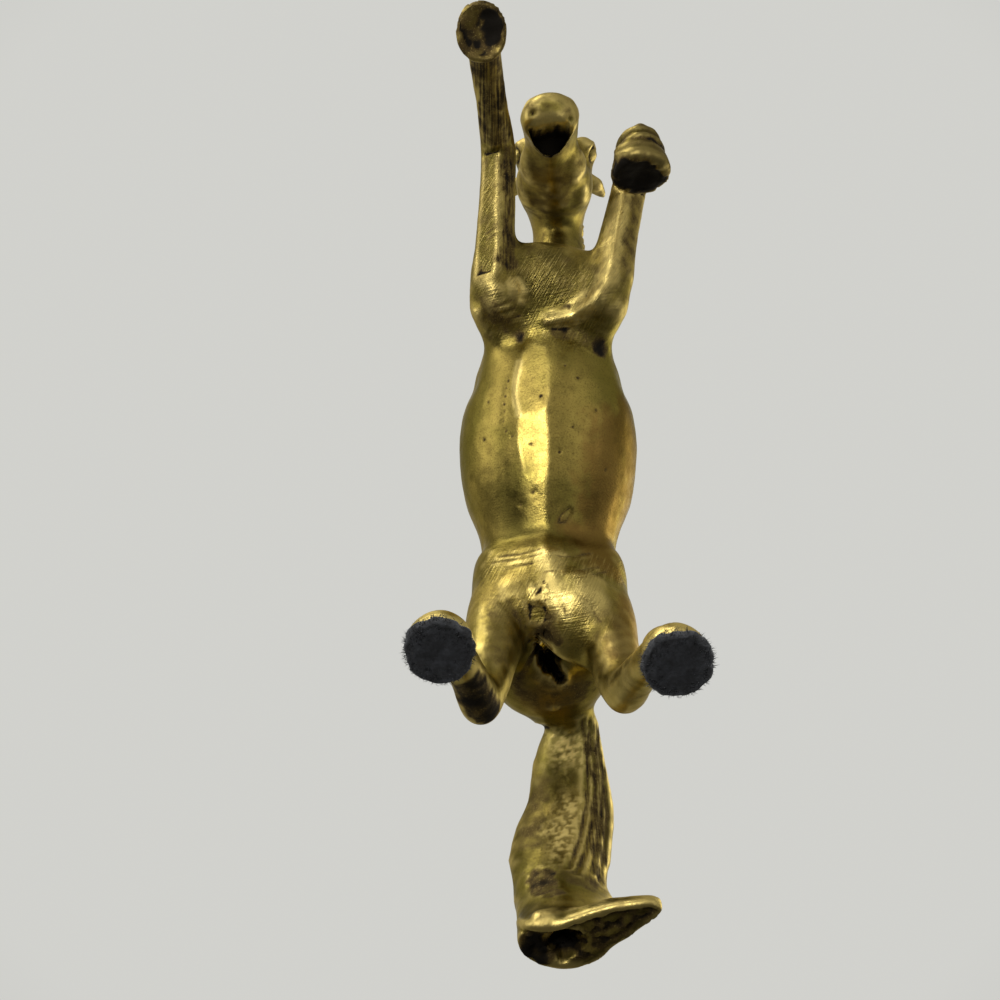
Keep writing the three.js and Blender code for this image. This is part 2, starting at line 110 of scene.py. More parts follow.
# Each hoof: middle of its sole and middle of its coronet
HOOVES = {
    "hindleg_left": ([13.2, 0.7, 1.5], [13.2, 4.7, 7.3]),
    "hindleg_right": ([-14.2, -1.0, 1.5], [-14.2, 3.0, 7.3]),
    "foreleg_left": ([13.5, -37.7, 72.8], [13.5, -41.6, 77.1]),
    "foreleg_right": ([-11.1, -58.2, 78.5], [-11.1, -57.2, 84.2]),
}
HOOF_SWELL = {"foreleg_left": 0.55, "foreleg_right": -0.15}

BRASS_NODES = [
    "body_left", "body_right", "neck", "head", "tail",
    "foreleg_left", "foreleg_right", "hindleg_left", "hindleg_right",
]
BRAZE_NODES = [
    "midline_braze", "neck_braze", "throat_braze", "tail_braze",
    "foreleg_left_braze", "foreleg_right_braze", "hindleg_left_braze", "hindleg_right_braze",
]
OWNERS = BRASS_NODES + BRAZE_NODES
SHELLS = ["body_left", "body_right"]


def added(name, data):
    """A new object in the scene."""
    made = bpy.data.objects.new(name, data)
    bpy.context.scene.collection.objects.link(made)
    return made


def smooth_step(low, high, value):
    share = np.clip((value - low) / (high - low), 0, 1)
    return share * share * (3 - 2 * share)


def bell(distance, width):
    return np.exp(-((distance / width) ** 2))


def unit(way):
    return way / np.linalg.norm(way)


def on_body(side, along, over):
    return BARREL + along * FORWARD + over * TOPWARD + side * ACROSS


def on_head(side, down, rise):
    share = down / np.linalg.norm(MUZZLE - POLL)
    return POLL + share * (MUZZLE - POLL) + rise * FACEWARD + side * ACROSS


def ripples(points, wavelength, seed, count=28):
    """Smooth noise of about unit size, from waves that run all ways."""
    draw = np.random.default_rng(seed)
    ways = draw.normal(size=(count, 3))
    ways /= np.linalg.norm(ways, axis=1, keepdims=True)
    pitch = 2 * math.pi / (wavelength * draw.uniform(0.65, 1.5, count))
    phase = draw.uniform(0, 2 * math.pi, count)
    return np.sin(points @ (ways * pitch[:, None]).T + phase).sum(1) / math.sqrt(count / 2)


def line_distance(points, line):
    """Distance from points to a line through several places."""
    best = np.full(len(points), FAR_OFF)
    for a, b in zip(line, line[1:]):
        way = b - a
        share = np.clip((points - a) @ way / max(way @ way, 1e-9), 0, 1)
        best = np.minimum(best, np.linalg.norm(points - a - share[:, None] * way, axis=1))
    return best


def tree_of(names):
    points, faces, owner = [], [], []
    for index, name in enumerate(names):
        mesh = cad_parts[name].data
        start = len(points)
        points.extend(Vector(v.co) / MM for v in mesh.vertices)
        for polygon in mesh.polygons:
            faces.append([start + k for k in polygon.vertices])
            owner.append(index)
    return BVHTree.FromPolygons(points, faces), np.array(owner)


def nearest_on(tree, points):
    found = [tree.find_nearest(Vector(p)) for p in points]
    return np.array([f[2] for f in found]), np.array([f[3] for f in found])


def sight_way(pixel):
    """The way from the camera to a pixel of the photograph, for a depth of one."""
    across = (pixel[0] - IMAGE_SIDE / 2) / FOCAL_PIXELS
    up = (IMAGE_SIDE / 2 - pixel[1]) / FOCAL_PIXELS
    return across * VIEW_RIGHT + up * VIEW_UP + VIEW_AHEAD


def at_pixel(tree, pixel):
    """The place on a surface that the photograph shows at a pixel."""
    place = tree.ray_cast(Vector(EYE), Vector(unit(sight_way(pixel))))[0]
    return None if place is None else np.array(place)


def seen(pixel, depth):
    """The place at a pixel of the photograph, at a depth from its camera."""
    return EYE + depth * sight_way(pixel)


def pixels_of(points):
    """Where the photograph shows points: across, down and depth."""
    sight = points - EYE
    depth = sight @ VIEW_AHEAD
    across = IMAGE_SIDE / 2 + FOCAL_PIXELS * (sight @ VIEW_RIGHT) / depth
    return across, IMAGE_SIDE / 2 - FOCAL_PIXELS * (sight @ VIEW_UP) / depth, depth


# Clay: closed forms that are pressed into the skin
clay = bmesh.new()


def loft(rings, sides=24):
    """A closed skin through rings, each (centre, half, over, under, side way, over way)."""
    turns = np.arange(sides) * 2 * math.pi / sides
    rows = []
    for centre, half, over, under, side_way, over_way in rings:
        rise = np.where(np.cos(turns) > 0, over, under) * np.cos(turns)
        ring = centre + np.outer(half * np.sin(turns), side_way) + np.outer(rise, over_way)
        rows.append([clay.verts.new(Vector(p) * MM) for p in ring])
    for low, high in zip(rows, rows[1:]):
        for k in range(sides):
            clay.faces.new((low[k - 1], low[k], high[k], high[k - 1]))
    clay.faces.new(rows[0][::-1])
    clay.faces.new(rows[-1])


def lump(centre, reach, ways=(ACROSS, FORWARD, TOPWARD)):
    """An egg with its reach along each of three ways."""
    rings = []
    for turn in np.linspace(0.12, math.pi - 0.12, 12):
        wide = math.sin(turn)
        middle = centre - ways[1] * reach[1] * math.cos(turn)
        rings.append((middle, reach[0] * wide, reach[2] * wide, reach[2] * wide, ways[0], ways[2]))
    loft(rings, 20)


loft([(on_body(0, a, 0), half, over, under, ACROSS, TOPWARD) for a, half, over, under in CORE])

head_ways = (ACROSS, unit(MUZZLE - POLL), FACEWARD)
for hand in (1, -1):
    lump(on_head(hand * 4.9, 14, -2.2), (2.7, 7.0, 5.0), head_ways)  # cheek
    lump(on_head(hand * 3.2, 22, -2), (3.2, 9, 4), head_ways)  # jaw
    lump(on_head(hand * 7.0, 13.6, 3.6), (1.7, 1.9, 1.5), head_ways)  # eye
    lump(on_head(hand * 3.6, 35.6, 2.0), (1.8, 2.6, 2.2), head_ways)  # nostril
    lump(on_body(hand * 8.2, 16, 6), (3.6, 8, 9))  # shoulder blade
    lump(on_body(hand * 9.5, -31, 2), (4.6, 9, 11))  # haunch
    lump(on_body(hand * 8.6, -27, -9), (4.6, 7, 8))  # flank into thigh
lump(on_body(0, -28, -12.8), (11, 8, 8.5))  # groin between the thighs
lump(on_head(0, 34.8, 0.2), (5.4, 5.0, 5.4), head_ways)  # upper lip
lump(on_head(0, 34.4, -3.6), (4.8, 4.4, 4.0), head_ways)  # lower lip

# Fillings that lie flush with the legs beside them: pixel, depth, reach
CHEST_FILL = ((555, 291), 185.2, (12.5, 8.6, 6.4))
GROIN_FILLS = [
    ((578, 617), 162.8, (6.6, 7.6, 5.0)),
    ((514, 610), 164.2, (4.6, 6.0, 4.4)),
    ((546, 598), 166.0, (6.5, 6.0, 4.6)),
]
tilted = unit(VIEW_RIGHT - 0.26 * VIEW_UP)
lump(seen(*CHEST_FILL[:2]), CHEST_FILL[2], (tilted, np.cross(VIEW_AHEAD, tilted), VIEW_AHEAD))
for pixel, depth, reach in GROIN_FILLS:
    lump(seen(pixel, depth), reach, (VIEW_RIGHT, VIEW_UP, VIEW_AHEAD))


# Skin: the castings and the clay in one surface
def gathered():
    joined = bmesh.new()
    for name in OWNERS:
        part = bmesh.new()
        part.from_mesh(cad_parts[name].data)
        bmesh.ops.remove_doubles(part, verts=part.verts, dist=1e-7)
        part.normal_update()
        for vert in part.verts:
            vert.co += vert.normal * SWELL * MM
        mesh = bpy.data.meshes.new("swollen")
        part.to_mesh(mesh)
        joined.from_mesh(mesh)
        part.free()
        bpy.data.meshes.remove(mesh)
    mesh = bpy.data.meshes.new("clay")
    bmesh.ops.recalc_face_normals(clay, faces=clay.faces)
    clay.to_mesh(mesh)
    joined.from_mesh(mesh)
    bpy.data.meshes.remove(mesh)
    whole = bpy.data.meshes.new("whole")
    joined.to_mesh(whole)
    joined.free()
    return whole


def remeshed(mesh):
    rough = added("rough", mesh)
    change = rough.modifiers.new("voxels", "REMESH")
    change.mode = "VOXEL"
    change.voxel_size = VOXEL * MM
    graph = bpy.context.evaluated_depsgraph_get()
    result = bpy.data.meshes.new_from_object(rough.evaluated_get(graph))
    bpy.data.objects.remove(rough)
    return result


def numbers_of(items, name, width, kind):
    flat = np.empty(len(items) * width, kind)
    items.foreach_get(name, flat)
    return flat.reshape(-1, width) if width > 1 else flat


skin = remeshed(gathered())
place = numbers_of(skin.vertices, "co", 3, np.float32).astype(np.float64) / MM
edge = numbers_of(skin.edges, "vertices", 2, np.int32)
corner = numbers_of(skin.loops, "vertex_index", 1, np.int32)
start = numbers_of(skin.polygons, "loop_start", 1, np.int32)
size = numbers_of(skin.polygons, "loop_total", 1, np.int32)
faces = [corner[s:s + n].tolist() for s, n in zip(start, size)]
first, second, third, last = corner[start], corner[start + 1], corner[start + 2], corner[start + size - 1]
ends = np.concatenate([edge[:, 0], edge[:, 1]])
others = np.concatenate([edge[:, 1], edge[:, 0]])


def relaxed(points, rounds, weight=None, pull=0.5):
    """Moves points towards the mean of their neighbours, where the weight asks for it."""
    points = points.copy()
    weight = np.ones(len(points)) if weight is None else weight
    active = np.flatnonzero(weight > 0.01)
    rank = np.full(len(points), -1)
    rank[active] = np.arange(len(active))
    used = rank[ends] >= 0
    near, far = rank[ends[used]], others[used]
    count = np.bincount(near, minlength=len(active))
    step = pull * weight[active]
    columns = [points[:, k].copy() for k in range(points.shape[1])]
    for _ in range(rounds):
        for column in columns:
            mean = np.bincount(near, column[far], minlength=len(active)) / count
            column[active] += step * (mean - column[active])
    return np.stack(columns, 1)


def steadied(points, rounds):
    """Smooths without shrinking."""
    for _ in range(rounds):
        points = relaxed(points, 1)
        points = relaxed(points, 1, pull=-0.53)
    return points


def settled(points, rounds, weight):
    """Smooths hard and puts back the broad form that this takes away."""
    soft = relaxed(points, rounds, weight)
    lost = relaxed(points - soft, rounds // 2, np.minimum(1, 3 * weight))
    return soft + weight[:, None] * lost


def normals_of(points):
    face_normal = np.cross(points[third] - points[first], points[last] - points[second])
    normal = np.zeros_like(points)
    for column in (first, second, third, last):
        for k in range(3):
            normal[:, k] += np.bincount(column, face_normal[:, k], minlength=len(points))
    return normal / np.maximum(np.linalg.norm(normal, axis=1, keepdims=True), 1e-12)


joint_tree, _ = tree_of([name for name in BRAZE_NODES if name != "midline_braze"])
_, braze_distance = nearest_on(joint_tree, place)
joint = bell(braze_distance, BLEND_REACH)
owner_tree, tree_owner = tree_of(OWNERS)
point_owner = tree_owner[nearest_on(owner_tree, place)[0]]


def on_node(*names):
    return np.isin(point_owner, [OWNERS.index(name) for name in names])


def distance_to(spot):
    return np.linalg.norm(place - spot, axis=1)


def soften(spot, reach, rounds):
    """Smooths the skin around a spot."""
    global place
    place = relaxed(place, rounds, bell(distance_to(spot), reach))


place = steadied(place, SMOOTH_ROUNDS)
place = relaxed(place, BLEND_ROUNDS, joint)
broad = on_node("body_left", "body_right", "midline_braze", "hindleg_left", "hindleg_right").astype(float)
broad = broad * smooth_step(9, 16, place[:, 2])
broad = relaxed(broad[:, None], 12)[:, 0]
place = settled(place, BODY_ROUNDS, broad)
place = settled(place, LIMB_ROUNDS, 0.8 * (1 - broad))
soften(on_body(0, 25, -15), 9, 110)  # web between the forelegs

# The muzzle is trimmed to a rim of pixels near its end, so that the lower lip lies behind the upper one.
MUZZLE_MIDDLE = (550, 122)
MUZZLE_RIM = [
    (550, 88), (564, 90), (574, 97), (579, 108), (579, 118), (576, 128), (570, 138), (565, 146), (558, 151),
    (550, 153), (542, 151), (535, 146), (529, 138), (523, 130),
    (520, 120), (520, 110), (524, 98), (534, 91),
]
MUZZLE_NEAR, MUZZLE_FAR = 184, 198
across, down, depth = pixels_of(place)
rim_across, rim_down = (np.array(MUZZLE_RIM, float) - MUZZLE_MIDDLE).T
off_across, off_down = across - MUZZLE_MIDDLE[0], down - MUZZLE_MIDDLE[1]
rim_turn = np.arctan2(rim_across, rim_down)
rim_reach = np.hypot(rim_across, rim_down)
rim = np.interp(np.arctan2(off_across, off_down), rim_turn, rim_reach, period=2 * math.pi)
trim = np.minimum(1, rim / np.maximum(np.hypot(off_across, off_down), 1)) - 1
trim = trim * on_node("head") * smooth_step(MUZZLE_FAR, MUZZLE_NEAR, depth) * depth / FOCAL_PIXELS
place = place + np.outer(trim * off_across, VIEW_RIGHT) - np.outer(trim * off_down, VIEW_UP)

# The folded hoof is domed above.
FOLDED_MIDDLE, FOLDED_TOP, FOLDED_FULL = 640, 117, 147
dome = np.sqrt(np.clip((down - FOLDED_TOP) / (FOLDED_FULL - FOLDED_TOP), 0.04, 1))
dome = np.where(on_node("foreleg_left"), dome, 1)
place = place + np.outer((dome - 1) * (across - FOLDED_MIDDLE) * depth / FOCAL_PIXELS, VIEW_RIGHT)

# The tail swells between sides that are given in pixels: down, left, right
TAIL_SIDES = [
    (717, 543, 599), (744, 538, 604), (767, 531, 608), (796, 527, 614), (808, 522, 615),
    (825, 514, 615), (845, 508, 613), (863, 508, 611), (874, 511, 608), (898, 516, 605),
]
TAIL_LOCK = 622  # the lock at the tail's end lies beyond this column
TAIL_TOP, TAIL_FOOT = (706, 724), (902, 880)  # rows where the change fades in and out
TAIL_ROW = 8
side_down, side_left, side_right = np.array(TAIL_SIDES, float).T
own = on_node("tail", "tail_braze") & (across < TAIL_LOCK)
levels = np.arange(708, 900, TAIL_ROW)
rows = [across[own & (np.abs(down - level) < TAIL_ROW)] for level in levels]
now_left = np.interp(down, levels, [row.min() for row in rows])
now_right = np.interp(down, levels, [row.max() for row in rows])
new_left = np.interp(down, side_down, side_left)
new_right = np.interp(down, side_down, side_right)
moved = new_left + (across - now_left) * (new_right - new_left) / (now_right - now_left) - across
moved = moved * own * smooth_step(*TAIL_TOP, down) * smooth_step(*TAIL_FOOT, down)
place = place + np.outer(moved * depth / FOCAL_PIXELS, VIEW_RIGHT)
place = relaxed(place, 10, on_node("tail", "tail_braze") * smooth_step(*TAIL_FOOT, down))
soften(on_head(0, 38, -1), 6, 25)  # lips
for hand in (1, -1):
    soften(on_head(hand * 5.4, 12.5, 3.4), 6.5, 45)  # eye socket
for name, (sole, coronet) in HOOVES.items():
    pastern = np.array(coronet) * 1.6 - np.array(sole) * 0.6
    ringed = np.exp(-((distance_to(pastern) / 5) ** 4)) * on_node(name)
    place = relaxed(place, 45, ringed)
soften(on_body(0, -29, -18), 9, 90)  # saddle between the thighs

# Carving
normal = normals_of(place)
skin_tree = BVHTree.FromPolygons([Vector(p) for p in place], faces)
marks = {key: np.zeros(len(place)) for key in ("dark", "dull_and_shade", "pale_and_highlight", "warm_reflection_and_tint", "filed", "drawn", "cast")}
blotch = 0.55 * ripples(place, 7, 11) + 0.35 * ripples(place, 2.6, 12) + 0.25 * ripples(place, 1.2, 13)
seen_x, seen_y, seen_depth = pixels_of(place)
sight_line = place - EYE
sight_length = np.linalg.norm(sight_line, axis=1)
first_hit = [skin_tree.ray_cast(Vector(EYE), Vector(way))[3] for way in sight_line / sight_length[:, None]]
jitter_x = ripples(place, 1.6, 61)
jitter_y = ripples(place, 1.6, 62)
shown = np.array([FAR_OFF if hit is None else hit for hit in first_hit]) > sight_length - SHOWN_SLACK


def traced(pixels):
    """A line on the skin, through one or more pixels of the photograph."""
    line = []
    for a, b in zip(pixels, pixels[1:]):
        for k in range(LINE_STEPS):
            share = k / LINE_STEPS
            line.append(at_pixel(skin_tree, (a[0] + share * (b[0] - a[0]), a[1] + share * (b[1] - a[1]))))
    line.append(at_pixel(skin_tree, pixels[-1]))
    line = [p for p in line if p is not None]
    return np.array(line if len(line) > 1 else line * 2)


def nearest_line(lines):
    """Distance from the skin to the nearest of some lines of pixels."""
    return np.min([line_distance(place, traced(line)) for line in lines], axis=0)


def in_outline(outline, soft, ragged_by=0.0):
    """How far each point that the photograph shows lies inside an outline of pixels, from 0 to 1."""
    x = seen_x + ragged_by * jitter_x
    y = seen_y + ragged_by * jitter_y
    inside = np.zeros(len(place), bool)
    gap = np.full(len(place), FAR_OFF)
    for (ax, ay), (bx, by) in zip(outline, outline[1:] + outline[:1]):
        crosses = (ay > y) != (by > y)
        fall = by - ay if by != ay else 1e-9
        inside ^= crosses & (x < ax + (y - ay) * (bx - ax) / fall)
        run = max((bx - ax) ** 2 + (by - ay) ** 2, 1e-9)
        share = np.clip(((x - ax) * (bx - ax) + (y - ay) * (by - ay)) / run, 0, 1)
        gap = np.minimum(gap, np.hypot(x - ax - share * (bx - ax), y - ay - share * (by - ay)))
    return smooth_step(-soft, soft, np.where(inside, gap, -gap)) * shown


def push(height):
    global place
    place = place + normal * height[:, None]


def swell(centre, reach, height):
    """A rounded rise, or a hollow where the height is negative."""
    push(height * bell(distance_to(centre), reach))


def swell_line(line, width, height):
    push(height * bell(line_distance(place, line), width))


def raise_mark(key, level):
    marks[key] = np.maximum(marks[key], level)


def paint(key, pixels, reach, strength):
    """Marks colour along a line of pixels, with a broken edge: painted shade, highlights and reflection as
    well as patina.
    """
    gap = line_distance(place, traced(pixels))
    raise_mark(key, strength * smooth_step(1.3, 0.45, gap / reach + 0.22 * blotch))


def facet(outline, soft, share=1.0):
    """Files a flat inside an outline of pixels."""
    global place
    mask = in_outline(outline, soft)
    way = unit(normal[mask > 0.7].mean(0))
    rim = (mask > 0.2) & (mask < 0.8)
    level = (place[rim] @ way).mean()
    place = place - np.outer(share * mask * (place @ way - level), way)
    return mask


for hand in (1, -1):
    swell_line([on_body(hand * 12, 11, 13), on_body(hand * 13.5, 9, -6)], 2.6, -0.7)  # behind the shoulder
    swell(on_body(hand * 12.5, -20, 3), 6, -0.9)  # flank hollow
    swell(on_body(hand * 9.5, -26, 15), 4, 0.7)  # hip bone
    swell_line([on_head(hand * 6.2, 17, 0.5), on_head(hand * 4.8, 27, 0.5)], 1.6, -0.5)  # under the cheek
    swell(on_head(hand * 4.8, 36.4, 2.6), 0.9, -0.9)  # nostril
    eye = place - on_head(hand * 7.6, 14.5, 3.4)
    eye_reach = np.hypot(np.linalg.norm(eye, axis=1), 0.9 * (eye @ FACEWARD))
    eye_reach = np.where(on_node("head"), eye_reach, FAR_OFF)
    push(0.3 * bell(eye_reach, 1.2) - 0.25 * bell(eye_reach - 1.9, 0.5))
    push(0.3 * bell(eye_reach - 2.9, 0.5) * smooth_step(-0.5, 1.0, eye @ FACEWARD))
swell_line([on_body(0, a, 19) for a in (-44, -36, -26, -18)], 2.0, -0.5)  # groove along the croup

# Hooves: coronet band and lip, and darkened hoof walls
HOOF_DARKENING = {"foreleg_left": 0.4, "foreleg_right": 0.55}
hoof_darkening = np.zeros(len(place))
for name, (sole, coronet) in HOOVES.items():
    sole, coronet = np.array(sole), np.array(coronet)
    axis = coronet - sole
    height = (place - sole) @ axis / (axis @ axis)
    beside = np.linalg.norm(place - sole - height[:, None] * axis, axis=1)
    inside = on_node(name) * smooth_step(7.5, 6.0, beside)
    band = bell(height - 1.2, 0.14)
    groove = bell(height - 0.95, 0.08)
    lip = bell(height - 0.08, 0.12)
    wall = smooth_step(-0.1, 0.1, height) * smooth_step(1.7, 0.9, height)
    hoof_darkening = np.maximum(hoof_darkening, HOOF_DARKENING.get(name, 0) * inside * smooth_step(1.9, 1.4, height))
    push(inside * (0.2 * band - 0.35 * groove + 0.15 * lip + (0.15 + HOOF_SWELL.get(name, 0)) * wall))

# Tail: strands down its left side and back, with the front left smooth
tail_height = TAIL_PATH[::-1, 2]
tail_x = np.interp(place[:, 2], tail_height, TAIL_PATH[::-1, 0])
tail_y = np.interp(place[:, 2], tail_height, TAIL_PATH[::-1, 1])
turn = np.degrees(np.arctan2(place[:, 0] - tail_x, -(place[:, 1] - tail_y))) % 360
hair = on_node("tail") * smooth_step(84, 104, turn) * smooth_step(262, 236, turn)
hair = hair * smooth_step(2.5, 5, place[:, 2]) * smooth_step(45, 40, place[:, 2])
strand = turn * 0.13 + place[:, 2] * 0.05 + 0.5 * ripples(place, 18, 21)
push(-0.3 * hair * np.abs(np.cos(strand)) ** 3)
push(0.07 * hair * np.sin(strand * 4.3))

# Mane: locks that fall to the left of the crest
neck_way = unit(NECK_PATH[2] - NECK_PATH[0])
along = (place - NECK_PATH[0]) @ neck_way
neck_x = np.interp(along, (NECK_PATH - NECK_PATH[0]) @ neck_way, NECK_PATH[:, 0])
crestward = unit(np.cross(ACROSS, neck_way))
crestward = crestward * np.sign(crestward[1])
rise = (place - NECK_PATH[0]) @ crestward
wisp = (along - 0.9 * rise) * 1.6 + 1.1 * ripples(place, 14, 31) + 0.35 * ripples(place, 5, 33)
tip = 1.8 * np.abs(np.sin(wisp / 3)) + 0.5 * ripples(place, 4, 32)
mane = on_node("neck", "head", "neck_braze", "body_left")
mane = mane * smooth_step(1.6, 4.4, rise + 0.6 * (place[:, 0] - neck_x) + tip - 1)
mane = mane * smooth_step(-4.5, -2.0, place[:, 0] - neck_x)
mane = mane * smooth_step(2, 11, along + tip) * smooth_step(36, 31, along)
push(mane * (0.4 - 0.34 * np.abs(np.cos(wisp)) ** 3 - 0.5 * np.abs(np.cos(wisp / 3)) ** 8))

# Outlines, lines and spots of pixels that the carving and the finish follow
STRIP_UPPER = [
    (527, 342), (521, 362), (516, 385), (515, 402), (520, 417),
    (530, 413), (541, 408), (547, 402), (547, 345),
]
STRIP_LOWER = [
    (520, 420), (531, 415), (541, 410), (547, 406), (548, 440),
    (547, 476), (537, 486), (526, 474), (519, 446),
]
STRIP_RIDGE = [(523, 352), (518, 378), (515, 398), (519, 416), (517, 440), (524, 468)]
BELLY = [(478, 338), (612, 338), (632, 400), (630, 500), (606, 556), (500, 556), (470, 480), (468, 400)]
GROIN_RIDGE = [(550, 556), (552, 580), (551, 604)]
FOREARM_LIGHT = [
    (483, 152), (499, 147), (499, 180), (497, 215), (496, 245),
    (491, 272), (478, 275), (477, 250), (480, 210), (483, 180),
]
TAIL_LIP = [(519, 922), (535, 927), (552, 929), (568, 922), (590, 913), (612, 907), (635, 903), (652, 901)]
TAIL_UNDERSIDE = [
    (521, 930), (536, 934), (554, 936), (575, 926), (612, 914),
    (652, 908), (660, 913), (622, 945), (588, 966), (544, 961),
    (530, 962),
]
TAIL_HOLE = [(550, 946), (554, 936), (565, 931), (576, 936), (580, 946), (576, 957), (565, 961), (554, 957)]
SOLE_BLACK = [(479, 8), (498, 8), (506, 24), (501, 42), (489, 50), (480, 32)]
MOUTH = [
    (530, 129), (537, 132), (548, 127), (566, 126), (570, 133),
    (565, 142), (560, 149), (552, 153), (543, 151), (535, 143),
]
VENT = [
    (540, 635), (546, 634), (550, 641), (549, 652), (555, 662),
    (562, 676), (567, 683), (560, 682), (549, 673), (540, 662),
    (535, 648),
]
VENT_BACK = 182  # depth in millimetres that the hollow behind the vent begins at
MOUTH_DEPTH, VENT_DEPTH, TAIL_HOLE_DEPTH = 4.2, 3.2, 2.4
RIGHT_SOLE = [(462, 4), (484, -4), (503, 6), (510, 24), (502, 46), (488, 58), (469, 47), (456, 26)]
LEFT_SOLE = [
    (612, 172), (617, 163), (630, 160), (638, 158), (650, 161),
    (660, 168), (668, 180), (664, 192), (650, 195), (625, 190),
    (614, 182),
]
BRAZE_BLOB = [(526, 590), (535, 583), (546, 585), (548, 598), (543, 604), (532, 601)]
CHIP = [(528, 603), (546, 606), (549, 618), (540, 625), (530, 626)]
PITS = [
    (508, 381), (506, 388), (505, 396), (504, 404), (504, 412),
    (503, 421), (506, 431), (512, 436), (488, 402), (484, 440),
    (578, 378), (573, 427), (560, 452), (596, 410), (541, 396),
    (533, 492), (520, 505), (530, 444), (606, 470), (565, 365),
]
LEAF_DENT = [(558, 523), (561, 515), (570, 508), (571, 514), (566, 522)]
SCRATCHES = [
    [(492, 563), (515, 559), (542, 554)], [(500, 556), (520, 554), (540, 549)],
    [(500, 571), (515, 566), (532, 563)], [(546, 573), (575, 570), (600, 567)],
    [(570, 577), (590, 575), (606, 571)], [(556, 557), (575, 556), (590, 553)],
    [(500, 602), (514, 612), (524, 628)], [(553, 585), (562, 600), (566, 618)],
    [(575, 590), (590, 604), (600, 622)], [(485, 312), (500, 305), (512, 300)],
    [(484, 322), (500, 314), (515, 308)], [(490, 330), (505, 323), (520, 315)],
    [(552, 329), (575, 329), (600, 336)], [(556, 336), (575, 338), (590, 346)],
    [(485, 233), (490, 229), (497, 226)], [(485, 239), (490, 236), (497, 232)],
    [(486, 227), (491, 223), (497, 220)],
]
FOLDED_GROOVE = [(613, 152), (619, 146), (629, 141), (640, 139), (650, 141), (659, 148), (667, 160)]
FOLDED_BAND = [(619, 138), (624, 132), (632, 129), (641, 128), (650, 129), (658, 133), (663, 140)]
FOLDED_LIP = [(617, 159), (628, 156), (640, 154), (652, 157), (662, 163)]
TAIL_STRANDS = [
    [(583, 722), (588, 760), (587, 800), (580, 838), (569, 866)],
    [(590, 722), (596, 770), (595, 812), (586, 850), (576, 872)],
    [(598, 738), (604, 790), (601, 830), (592, 870)],
    [(604, 770), (608, 815), (605, 850), (600, 880)],
]
CORROSION = [(527, 872), (540, 866), (556, 870), (562, 884), (552, 896), (533, 895), (524, 884)]
TAIL_PEEL = [
    [(548, 732), (584, 735), (584, 768), (556, 765)],
    [(566, 795), (586, 800), (574, 850), (552, 862), (548, 830)],
]

SWOOP = [(624, 196), (618, 228), (613, 258), (607, 284), (592, 304), (572, 316), (549, 321)]
# Ridges, creases and bumps, in their order: pixels, width and height
CARVED = [
    ([(547, 392), (547, 440), (547, 500), (546, 556)], 1.3, 0.2),  # keel of the belly
    (SWOOP, 1.3, 1.1),
    ([(566, 333), (578, 335), (592, 340), (605, 348)], 1.5, -0.5),  # crease below the swoop
    ([(478, 276), (495, 287), (514, 290), (521, 303), (532, 319)], 1.5, 0.3),  # fold of the right elbow
    ([(514, 289)], 1.1, 0.5),  # bumps on that fold
    ([(520, 302)], 0.8, 0.4),
    ([(474, 302), (488, 320), (503, 331), (517, 335)], 1.9, -0.8),  # crease of the right elbow
    ([(560, 289)], 5, -0.4),  # chest plate
    ([(512, 606), (522, 622), (532, 642)], 1.4, -0.5),  # gutter in the groin
    ([(554, 707)], 0.9, 0.6),  # boss below the dock
    ([(597, 187)], 2.2, 0.5),  # ear
    ([(532, 113)], 0.7, -0.35),  # nostrils
    ([(571, 119)], 0.7, -0.35),
    (FOLDED_GROOVE, 0.7, -0.9),
    (FOLDED_BAND, 0.6, -0.7),
    (FOLDED_LIP, 0.9, 0.4),
]
for pixels, width, height in CARVED:
    swell_line(traced(pixels), width, height)
strand_gap = nearest_line(TAIL_STRANDS)
push(-0.32 * bell(strand_gap, 0.7))
ragged = 0.5 + 0.5 * np.tanh(1.6 * ripples(place, 2.2, 51))
underside = in_outline(TAIL_UNDERSIDE, 3)
push(-underside * (0.5 + 0.3 * ragged))
push(0.16 * underside * ripples(place, 1.2, 53))
swell_line(traced(TAIL_LIP), 0.6, 0.35)
push(0.3 * in_outline(BRAZE_BLOB, 3, 1.5) * (0.4 + ragged))
chip = facet(CHIP, 2.0)
push(-0.4 * chip)
push(-0.25 * in_outline(CORROSION, 4) * ragged)
flecks = smooth_step(-0.5, 0.7, ripples(place, 1.2, 52) + 0.5 * ripples(place, 0.8, 53))
for patch in TAIL_PEEL:
    push(0.09 * in_outline(patch, 8) * (flecks - 0.5))
    raise_mark("cast", in_outline(patch, 14, 1.5) * (0.2 + 0.8 * flecks))
for sole_outline in (RIGHT_SOLE, LEFT_SOLE):
    push(-0.6 * in_outline(sole_outline, 3.5, 1.2) * (0.75 + 0.25 * ragged))
place = place + np.outer(MOUTH_DEPTH * in_outline(MOUTH, 3.0), VIEW_AHEAD)
vent_rim = in_outline(VENT, 2.0, 1.5) * (seen_depth < VENT_BACK)
place = place + np.outer(VENT_DEPTH * vent_rim, VIEW_AHEAD)
place = place + np.outer(TAIL_HOLE_DEPTH * in_outline(TAIL_HOLE, 3.0, 1.5), VIEW_AHEAD)
scratched = nearest_line(SCRATCHES)
scratched = scratched + 0.3 * smooth_step(0.2, 1.2, ripples(place, 6, 63))
push(-0.12 * bell(scratched, 0.4))
for pit in PITS:
    swell(at_pixel(skin_tree, pit), 0.42, -0.14)
leaf = in_outline(LEAF_DENT, 2.5)
push(-0.16 * 4 * leaf * (1 - leaf))
swell_line(traced(GROIN_RIDGE), 1.5, 0.4)
normal = normals_of(place)
facet(STRIP_UPPER, 4.5, 0.8)
facet(STRIP_LOWER, 2.5, 0.85)
facet(FOREARM_LIGHT, 2.5, 0.75)
normal = normals_of(place)
swell_line(traced(STRIP_RIDGE), 0.6, 0.07)

